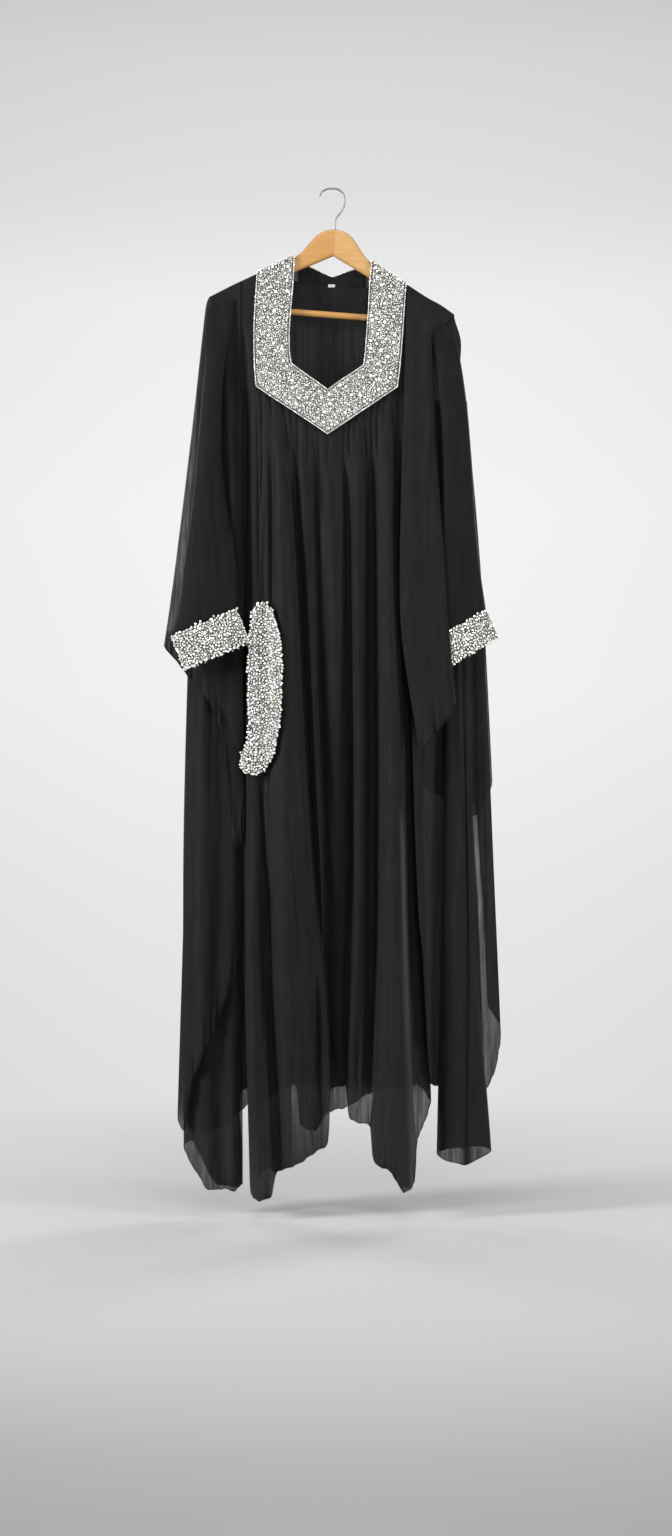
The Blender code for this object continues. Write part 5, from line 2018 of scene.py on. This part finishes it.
class Nodes:
    """Short ways to add and join shader nodes in one tree."""

    def __init__(self, tree: Tree) -> None:
        """Works in this tree."""
        self.tree = tree

    def add(self, kind: str, settings: dict | None = None, **sockets: object) -> bpy.types.Node:
        """Adds a node.

        Args:
            kind: Its type.
            settings: Its own options.
            sockets: Values or output sockets for its inputs, by name with _ for spaces.

        Returns:
            The node.
        """
        node = self.tree.nodes.new(kind)
        for key, value in (settings or {}).items():
            setattr(node, key, value)
        self.fill(node, **sockets)
        return node

    def fill(self, node: bpy.types.Node, **sockets: object) -> None:
        """Gives a node's inputs their values or output sockets, by name with _ for spaces."""
        for key, value in sockets.items():
            self.feed(self.socket(node, key), value)

    def socket(self, node: bpy.types.Node, key: str) -> Socket:
        """An input by name, or by number when the key is like in_0.

        Args:
            node: The node.
            key: The name with _ for spaces, or the number.

        Returns:
            The input.
        """
        if key.startswith("in_"):
            return node.inputs[int(key[3:])]
        return node.inputs[key.replace("_", " ")]

    def feed(self, target: Socket, value: object) -> None:
        """Joins an output socket to an input, or sets the input's own value.

        Args:
            target: The input.
            value: The socket or the value.
        """
        if isinstance(value, Socket):
            self.tree.links.new(value, target)
        else:
            target.default_value = value

    def math(self, operation: str, *values: object) -> Socket:
        """A math node's result.

        Args:
            operation: What it does.
            values: Numbers or sockets.

        Returns:
            The result.
        """
        node = self.add("ShaderNodeMath", {"operation": operation})
        for socket, value in zip(node.inputs, values):
            self.feed(socket, value)
        return node.outputs[0]

    def noise(self, where: Socket, scale: float, detail: float = 3.0,
              roughness: float = 0.55) -> Socket:
        """A noise value around 0.5.

        Args:
            where: Coordinates.
            scale: How fine it is.
            detail: How many finer layers.
            roughness: How strong these are.

        Returns:
            The value.
        """
        node = self.add("ShaderNodeTexNoise", Vector=where, Scale=scale, Detail=detail,
                        Roughness=roughness)
        return node.outputs[0]

    def stretched(self, where: Socket, size: tuple) -> Socket:
        """Coordinates scaled by size."""
        return self.add("ShaderNodeMapping", Vector=where, Scale=size).outputs[0]

    def span(self, value: Socket, low: float, high: float, to_low: float,
             to_high: float) -> Socket:
        """A value moved from one range to another and kept inside it.

        Args:
            value: The value.
            low: Start of its range.
            high: End of its range.
            to_low: Start of the new range.
            to_high: End of the new range.

        Returns:
            The new value.
        """
        node = self.add("ShaderNodeMapRange", Value=value, From_Min=low, From_Max=high,
                        To_Min=to_low, To_Max=to_high)
        return node.outputs[0]

    def ramp(self, value: Socket, stops: Sequence[tuple]) -> Socket:
        """A colour that changes with a value.

        Args:
            value: From 0 to 1.
            stops: Places with colours, in order.

        Returns:
            The colour.
        """
        node = self.add("ShaderNodeValToRGB", Fac=value)
        elements = node.color_ramp.elements
        for element, (place, colour) in zip(elements, (stops[0], stops[-1])):
            element.position, element.color = place, (*colour, 1.0)
        for place, colour in stops[1:-1]:
            elements.new(place).color = (*colour, 1.0)
        return node.outputs[0]

    def at(self, source: str = "Object") -> Socket:
        """Texture coordinates."""
        return self.add("ShaderNodeTexCoord").outputs[source]

    def bump(self, height: Socket, strength: float, distance: float) -> Socket:
        """A normal from a height."""
        return self.add("ShaderNodeBump", Height=height, Strength=strength,
                        Distance=distance).outputs[0]


def new_group(name: str, inputs: dict[str, float], outputs: dict[str, str]) -> tuple:
    """Starts a node group.

    Args:
        name: Its name.
        inputs: Names of its number inputs with their usual values.
        outputs: Names of its outputs with their socket types.

    Returns:
        The group, its node maker, its input node and its output node.
    """
    group = bpy.data.node_groups.new(name, "ShaderNodeTree")
    for key, value in inputs.items():
        socket = group.interface.new_socket(key, in_out="INPUT", socket_type="NodeSocketFloat")
        socket.default_value = value
    for key, kind in outputs.items():
        group.interface.new_socket(key, in_out="OUTPUT", socket_type=kind)
    make = Nodes(group)
    return group, make, make.add("NodeGroupInput"), make.add("NodeGroupOutput")


def crepe_group() -> Tree:
    """Fine crinkle of crepe cloth: a height, painted shade that darkens its hollows, and streaks.

    Returns:
        The group.
    """
    group, make, given, out = new_group(
        "crepe", {"Size": 1.0}, {"Height": "NodeSocketFloat", "Shade": "NodeSocketFloat",
                                 "Streaks": "NodeSocketFloat"})
    where = make.at()
    tall = make.stretched(where, (1.0, 1.0, 0.28))
    taller = make.stretched(where, (1.0, 1.0, 0.16))
    fine = make.noise(tall, scale=520.0, detail=4.0, roughness=0.62)
    broad = make.noise(taller, scale=95.0, detail=3.0, roughness=0.5)
    grain = make.noise(where, scale=1400.0, detail=2.0, roughness=0.6)
    mixed = make.math("ADD", make.math("MULTIPLY", fine, 0.5), make.math("MULTIPLY", broad, 0.9))
    height = make.math("ADD", mixed, make.math("MULTIPLY", grain, 0.15))
    long = make.stretched(where, (1.0, 1.0, 0.05))
    # Shade is painted shade: it follows the crinkle's height and is darker in its hollows
    make.fill(out, Height=make.math("MULTIPLY", height, given.outputs["Size"]),
              Shade=make.span(mixed, 0.45, 0.95, 0.0, 1.0),
              Streaks=make.noise(long, scale=190.0, detail=3.0, roughness=0.6))
    return group


def weave_group() -> Tree:
    """Threads of a thin open weave across and down, as a share of cover.

    Returns:
        The group.
    """
    group, make, given, out = new_group("weave", {"Threads": 1500.0},
                                        {"Cover": "NodeSocketFloat"})
    parts = make.add("ShaderNodeSeparateXYZ", Vector=make.at("UV"))
    lines = []
    for axis in ("X", "Y"):
        turn = make.math("MULTIPLY", parts.outputs[axis], given.outputs["Threads"])
        lines.append(make.math("ABSOLUTE", make.math("SINE", turn)))
    make.fill(out, Cover=make.math("MAXIMUM", lines[0], lines[1]))
    return group


def wood_group() -> Tree:
    """Long grain of varnished wood: a shade from dark line to pale ground.

    Returns:
        The group.
    """
    group, make, given, out = new_group("wood grain", {"Scale": 1.0},
                                        {"Shade": "NodeSocketFloat"})
    where = make.stretched(make.at(), (0.16, 1.0, 1.0))
    longer = make.stretched(make.at(), (0.05, 1.0, 1.0))
    warp = make.noise(where, scale=22.0, detail=2.0, roughness=0.5)
    fine = make.noise(longer, scale=420.0, detail=3.0, roughness=0.6)
    rings = make.math("SINE", make.math("MULTIPLY", warp, 60.0))
    shade = make.math("ADD", make.math("MULTIPLY", rings, 0.07), make.math("MULTIPLY", fine, 0.9))
    make.fill(out, Shade=make.math("MULTIPLY", shade, given.outputs["Scale"]))
    return group


def blank_material(name: str) -> tuple[Material, Nodes, bpy.types.Node]:
    """A new material with its Principled shader.

    Args:
        name: Its name.

    Returns:
        The material, its node maker and the shader.
    """
    material = bpy.data.materials.new(name)
    material.use_nodes = True
    tree = material.node_tree
    return material, Nodes(tree), tree.nodes["Principled BSDF"]


@dataclass(frozen=True)
class Chiffon:
    """Thin black cloth that lets light through where it lies single."""

    name: str = "chiffon"
    # low and high are the colours of the crinkle's painted shade: low in its hollows, high on its rises
    low: Triple = (0.0058, 0.0058, 0.0067)
    high: Triple = (0.0112, 0.0112, 0.0126)
    through: float = 0.105
    roughness: float = 0.7
    bump: float = 0.5

    def cover(self, make: Nodes, threads: Socket, streaks: Socket) -> Socket:
        """How much one side of the shell covers, from how many plies lie there.

        Args:
            make: Makes the nodes.
            threads: The weave's cover.
            streaks: Long thin streaks down the cloth.

        Returns:
            The alpha's socket.
        """
        depth = {key: make.add("ShaderNodeAttribute", {"attribute_name": key}).outputs["Fac"]
                 for key in ("doubled", "thin")}
        doubled = make.span(depth["doubled"], -1.0, 1.0, 0.5, 1.1)
        thin = make.span(depth["thin"], -3.0, 3.0, 0.0, 0.18)
        plies = make.math("SUBTRACT", doubled, thin)
        clear = make.math("POWER", self.through, plies)
        uneven = make.math("MULTIPLY", clear, make.span(threads, 0.6, 1.0, 1.25, 0.85))
        uneven = make.math("MULTIPLY", uneven, make.span(streaks, 0.36, 0.64, 0.72, 1.32))
        return make.math("SUBTRACT", 1.0, uneven)

    def make(self, crepe: Tree, weave: Tree) -> Material:
        """Builds the material from the shared groups.

        Args:
            crepe: Group of the crinkle and of its painted shade.
            weave: Group of the threads.

        Returns:
            The material.
        """
        material, make, shader = blank_material(self.name)
        crinkle = make.add("ShaderNodeGroup", {"node_tree": crepe})
        threads = make.add("ShaderNodeGroup", {"node_tree": weave})
        # The cloth's colour runs from low to high with the crinkle's painted shade, darker in its
        # hollows
        colour = make.ramp(crinkle.outputs["Shade"], [(0.0, self.low), (1.0, self.high)])
        cover = self.cover(make, threads.outputs["Cover"], crinkle.outputs["Streaks"])
        make.fill(shader, Base_Color=colour, Alpha=cover,
                  Normal=make.bump(crinkle.outputs["Height"], self.bump, 0.0016),
                  Roughness=self.roughness, Sheen_Weight=0.04, Sheen_Roughness=0.4,
                  Specular_IOR_Level=0.12)
        return material


@dataclass(frozen=True)
class BeadFinish:
    """Silver and grey glass beads; each bead's tone sets its colour and gloss."""

    name: str = "beads"

    def make(self) -> Material:
        """Builds the material.

        Returns:
            The material.
        """
        material, make, shader = blank_material(self.name)
        tone = make.add("ShaderNodeAttribute", {"attribute_name": "tone"}).outputs["Fac"]
        colour = make.ramp(tone, [(0.0, (0.06, 0.06, 0.057)), (0.35, (0.52, 0.51, 0.475)),
                                  (0.65, (0.93, 0.915, 0.865)), (1.0, (1.0, 0.99, 0.96))])
        make.fill(shader, Base_Color=colour, Roughness=make.span(tone, 0.0, 1.0, 0.1, 0.2),
                  Metallic=make.span(tone, 0.3, 1.0, 0.1, 0.25), Specular_IOR_Level=0.8)
        return material


@dataclass(frozen=True)
class PlainCloth:
    """Matt cloth with a fine mottle, for the bands' backing and the label."""

    name: str
    low: Triple
    high: Triple
    scale: float = 900.0

    def make(self) -> Material:
        """Builds the material.

        Returns:
            The material.
        """
        material, make, shader = blank_material(self.name)
        mottle = make.noise(make.at(), self.scale, detail=2.0, roughness=0.6)
        make.fill(shader, Base_Color=make.ramp(mottle, [(0.3, self.low), (0.7, self.high)]),
                  Normal=make.bump(mottle, 0.4, 0.0004), Roughness=0.8)
        return material


@dataclass(frozen=True)
class Wood:
    """Pale varnished wood."""

    name: str = "wood"
    low: Triple = (0.433, 0.238, 0.077)
    high: Triple = (0.52, 0.307, 0.114)

    def make(self, grain: Tree) -> Material:
        """Builds the material from the grain group.

        Args:
            grain: Group of the grain.

        Returns:
            The material.
        """
        material, make, shader = blank_material(self.name)
        lines = make.add("ShaderNodeGroup", {"node_tree": grain}).outputs["Shade"]
        shade = make.span(lines, 0.2, 0.75, 0.0, 1.0)
        make.fill(shader, Base_Color=make.ramp(shade, [(0.0, self.low), (1.0, self.high)]),
                  Normal=make.bump(lines, 0.12, 0.0004), Roughness=0.38, Coat_Weight=0.5,
                  Coat_Roughness=0.15)
        return material


@dataclass(frozen=True)
class Wire:
    """Bright plated steel wire."""

    colour: Triple = (0.27, 0.27, 0.262)

    def make(self) -> Material:
        """Builds the material, with faint drawn lines.

        Returns:
            The material.
        """
        material, make, shader = blank_material("wire")
        lines = make.noise(make.at(), scale=1500.0, detail=2.0)
        make.fill(shader, Roughness=make.span(lines, 0.3, 0.7, 0.52, 0.6),
                  Base_Color=(*self.colour, 1.0), Metallic=1.0)
        return material


# Hanger


@dataclass
class Hanger:
    """The wooden halves and bar keep their solids; the hook is made again, rounder."""

    points: int = 90
    tip: tuple[float, float] = (0.62, 0.93)
    bevel: int = 4
    smooth_below: float = 50.0

    def path(self) -> Grid:
        """The hook wire's middle line: the crook, then straight down to the wood.

        Returns:
            Points along it.
        """
        at = np.linspace(0, len(HOOK_PATH) - 1, self.points)
        curve = smooth_curve(np.arange(len(HOOK_PATH)), np.array(HOOK_PATH), at)
        curve = np.vstack([curve, [(CROWN_X, CROWN_Z + SEAM_GAP)]])
        return np.stack([curve[:, 0], np.zeros(len(curve)), curve[:, 1]], axis=1)

    def build_hook(self, wire: Material) -> None:
        """A round wire along the path, with a rounded tip.

        Args:
            wire: Its material.
        """
        path = self.path()
        spline = bpy.data.curves.new("hook_round", "CURVE")
        spline.dimensions = "3D"
        spline.bevel_depth = WIRE / 2 * MM
        spline.bevel_resolution = self.bevel
        spline.use_fill_caps = True
        line = spline.splines.new("POLY")
        line.points.add(len(path) - 1)
        for point, place in zip(line.points, path):
            point.co = (*(place * MM), 1.0)
        line.points[0].radius, line.points[1].radius = self.tip
        hook = add_object("hook_round", spline)
        bpy.ops.object.select_all(action="DESELECT")
        bpy.context.view_layer.objects.active = hook
        hook.select_set(True)
        bpy.ops.object.convert(target="MESH")
        hook = bpy.context.object
        bpy.ops.object.shade_smooth_by_angle(angle=math.radians(self.smooth_below))
        settle(hook, wire, ["hanger_hook"])

    def build(self, woods: dict[str, Material], wire: Material) -> None:
        """Dresses the solids, each in its own wood, and makes the hook.

        Args:
            woods: Material of each wooden node.
            wire: Material of the hook.
        """
        for node, wood in woods.items():
            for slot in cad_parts[node].material_slots:
                slot.material = wood
        self.build_hook(wire)


# Room, light and camera
# The wall's brightness by how steeply the camera looks up or down
WALL = [(-0.282, 0.44), (-0.238, 0.53), (-0.206, 0.62), (-0.186, 0.66), (-0.15, 0.74),
        (-0.09, 0.78), (-0.05, 0.81), (0.03, 0.89), (0.1, 0.905), (0.18, 0.86), (0.218, 0.75),
        (0.268, 0.68), (0.286, 0.63)]


class Lamp(NamedTuple):
    """A soft area lamp: its place, the height on the dress that it points at, size and power."""

    name: str
    place: Triple
    aim_z: float
    size: tuple[float, float]
    power: float


LAMPS = table(Lamp,
    ("key", (-3.3, -1.5, 0.1), -0.85, (0.8, 2.2), 192.0),
    ("edge", (3.2, -1.6, -0.2), -0.85, (0.8, 2.2), 98.0),
    ("fill", (1.2, -3.8, -0.6), -0.9, (1.4, 2.0), 42.0),
    ("top", (0.0, -1.6, 1.3), -0.7, (1.6, 1.0), 24.0),
    ("rear_left", (-2.6, 2.8, 0.1), -0.85, (0.9, 2.2), 70.0),
    ("rear_right", (2.6, 2.8, 0.1), -0.85, (0.9, 2.2), 110.0),
)


@dataclass
class Studio:
    """Pale wall of light, a pale floor, soft lamps and the camera at the photo's place."""

    camera_at: Triple = (0.00363, -4.2, -0.9545)
    lens: float = 59.66
    floor_z: float = -1.69
    floor_reach: float = 1.5
    floor_solid: float = 0.35
    side_fall: float = 3.0
    side_least: float = 0.93
    room: Triple = (1.0, 1.0, 1.0)
    room_light: float = 0.2

    def add_camera(self) -> None:
        """A level camera that looks straight at the wall."""
        data = bpy.data.cameras.new("camera")
        data.lens, data.sensor_width, data.sensor_height = self.lens, 36.0, 36.0
        camera = add_object("camera", data)
        camera.location = self.camera_at
        camera.rotation_euler = (math.radians(90), 0.0, 0.0)
        bpy.context.scene.camera = camera

    def add_lamp(self, lamp: Lamp) -> None:
        """Adds one lamp.

        Args:
            lamp: Its row of the table.
        """
        data = bpy.data.lights.new(lamp.name, "AREA")
        data.shape, data.energy = "RECTANGLE", lamp.power
        data.size, data.size_y = lamp.size
        way = Vector((0.0, 0.0, lamp.aim_z)) - Vector(lamp.place)
        made = add_object(lamp.name, data)
        made.location = lamp.place
        made.rotation_euler = way.to_track_quat("-Z", "Y").to_euler()

    def add_floor(self) -> None:
        """A round floor that fades into the background."""
        bpy.ops.object.select_all(action="DESELECT")
        bpy.ops.mesh.primitive_circle_add(vertices=96, radius=self.floor_reach, fill_type="NGON",
                                          location=(0.0, 0.0, self.floor_z))
        floor = bpy.context.object
        floor.name = "studio_floor"
        material, make, shader = blank_material("floor")
        away = make.add("ShaderNodeVectorMath", {"operation": "LENGTH"},
                        in_0=make.at()).outputs["Value"]
        make.fill(shader, Alpha=make.span(away, self.floor_solid, self.floor_reach, 1.0, 0.0),
                  Base_Color=(0.4, 0.4, 0.397, 1.0), Roughness=0.85)
        floor.data.materials.append(material)

    def add_world(self) -> None:
        """A pale wall with a soft fall of light from its middle to its top and foot.

        The camera sees the wall, and everything else is lit by an even, weaker room.
        """
        world = bpy.data.worlds.new("room")
        bpy.context.scene.world = world
        world.use_nodes = True
        make = Nodes(world.node_tree)
        way = make.add("ShaderNodeSeparateXYZ", Vector=make.at("Generated"))
        height = make.span(way.outputs["Z"], WALL[0][0], WALL[-1][0], 0.0, 1.0)
        reach = WALL[-1][0] - WALL[0][0]
        wall = make.ramp(height, [((at - WALL[0][0]) / reach, (tone, tone, tone))
                                  for at, tone in WALL])
        side = make.math("POWER", make.math("ABSOLUTE", way.outputs["X"]), 2.0)
        dim = make.math("SUBTRACT", 1.0, make.math("MULTIPLY", side, self.side_fall))
        dim = make.math("MAXIMUM", dim, self.side_least)
        seen = world.node_tree.nodes["Background"]
        make.fill(seen, Color=wall, Strength=dim)
        room = make.add("ShaderNodeBackground", Color=(*self.room, 1.0),
                        Strength=self.room_light)
        camera = make.add("ShaderNodeLightPath").outputs["Is Camera Ray"]
        both = make.add("ShaderNodeMixShader", in_0=camera, in_1=room.outputs[0],
                        in_2=seen.outputs[0])
        make.fill(world.node_tree.nodes["World Output"], Surface=both.outputs[0])

    def build(self) -> None:
        """Sets up the whole room."""
        bpy.context.scene.view_settings.view_transform = "Standard"
        self.add_camera()
        self.add_world()
        self.add_floor()
        for lamp in LAMPS:
            self.add_lamp(lamp)


def main() -> None:
    """Builds the room, the hanger and every piece of the jebba."""
    logging.basicConfig(level=logging.INFO, format="%(message)s")
    Studio().build()
    crepe, weave = crepe_group(), weave_group()
    cloth = Chiffon().make(crepe, weave)
    backing = PlainCloth("band_backing", (0.025, 0.025, 0.024), (0.09, 0.088, 0.084)).make()
    work = Beadwork(backing, BeadFinish().make())
    grain = wood_group()
    pale = Wood().make(grain)
    warm = Wood("wood_warm", (0.395, 0.195, 0.052), (0.474, 0.252, 0.076)).make(grain)
    woods = {"hanger_left": warm, "hanger_right": pale, "hanger_bar": warm}
    Hanger().build(woods, Wire().make())
    gown = Gown()
    gown.build(cloth)
    SidePieces().build(cloth)
    Sleeves().build(work, cloth)
    label = PlainCloth("label_weave", (0.4, 0.4, 0.385), (0.55, 0.55, 0.53), 2200.0).make()
    NeckPieces().build(work, cloth, label)
    Pocket().build(work, gown.front)


if __name__ == "__main__":
    main()
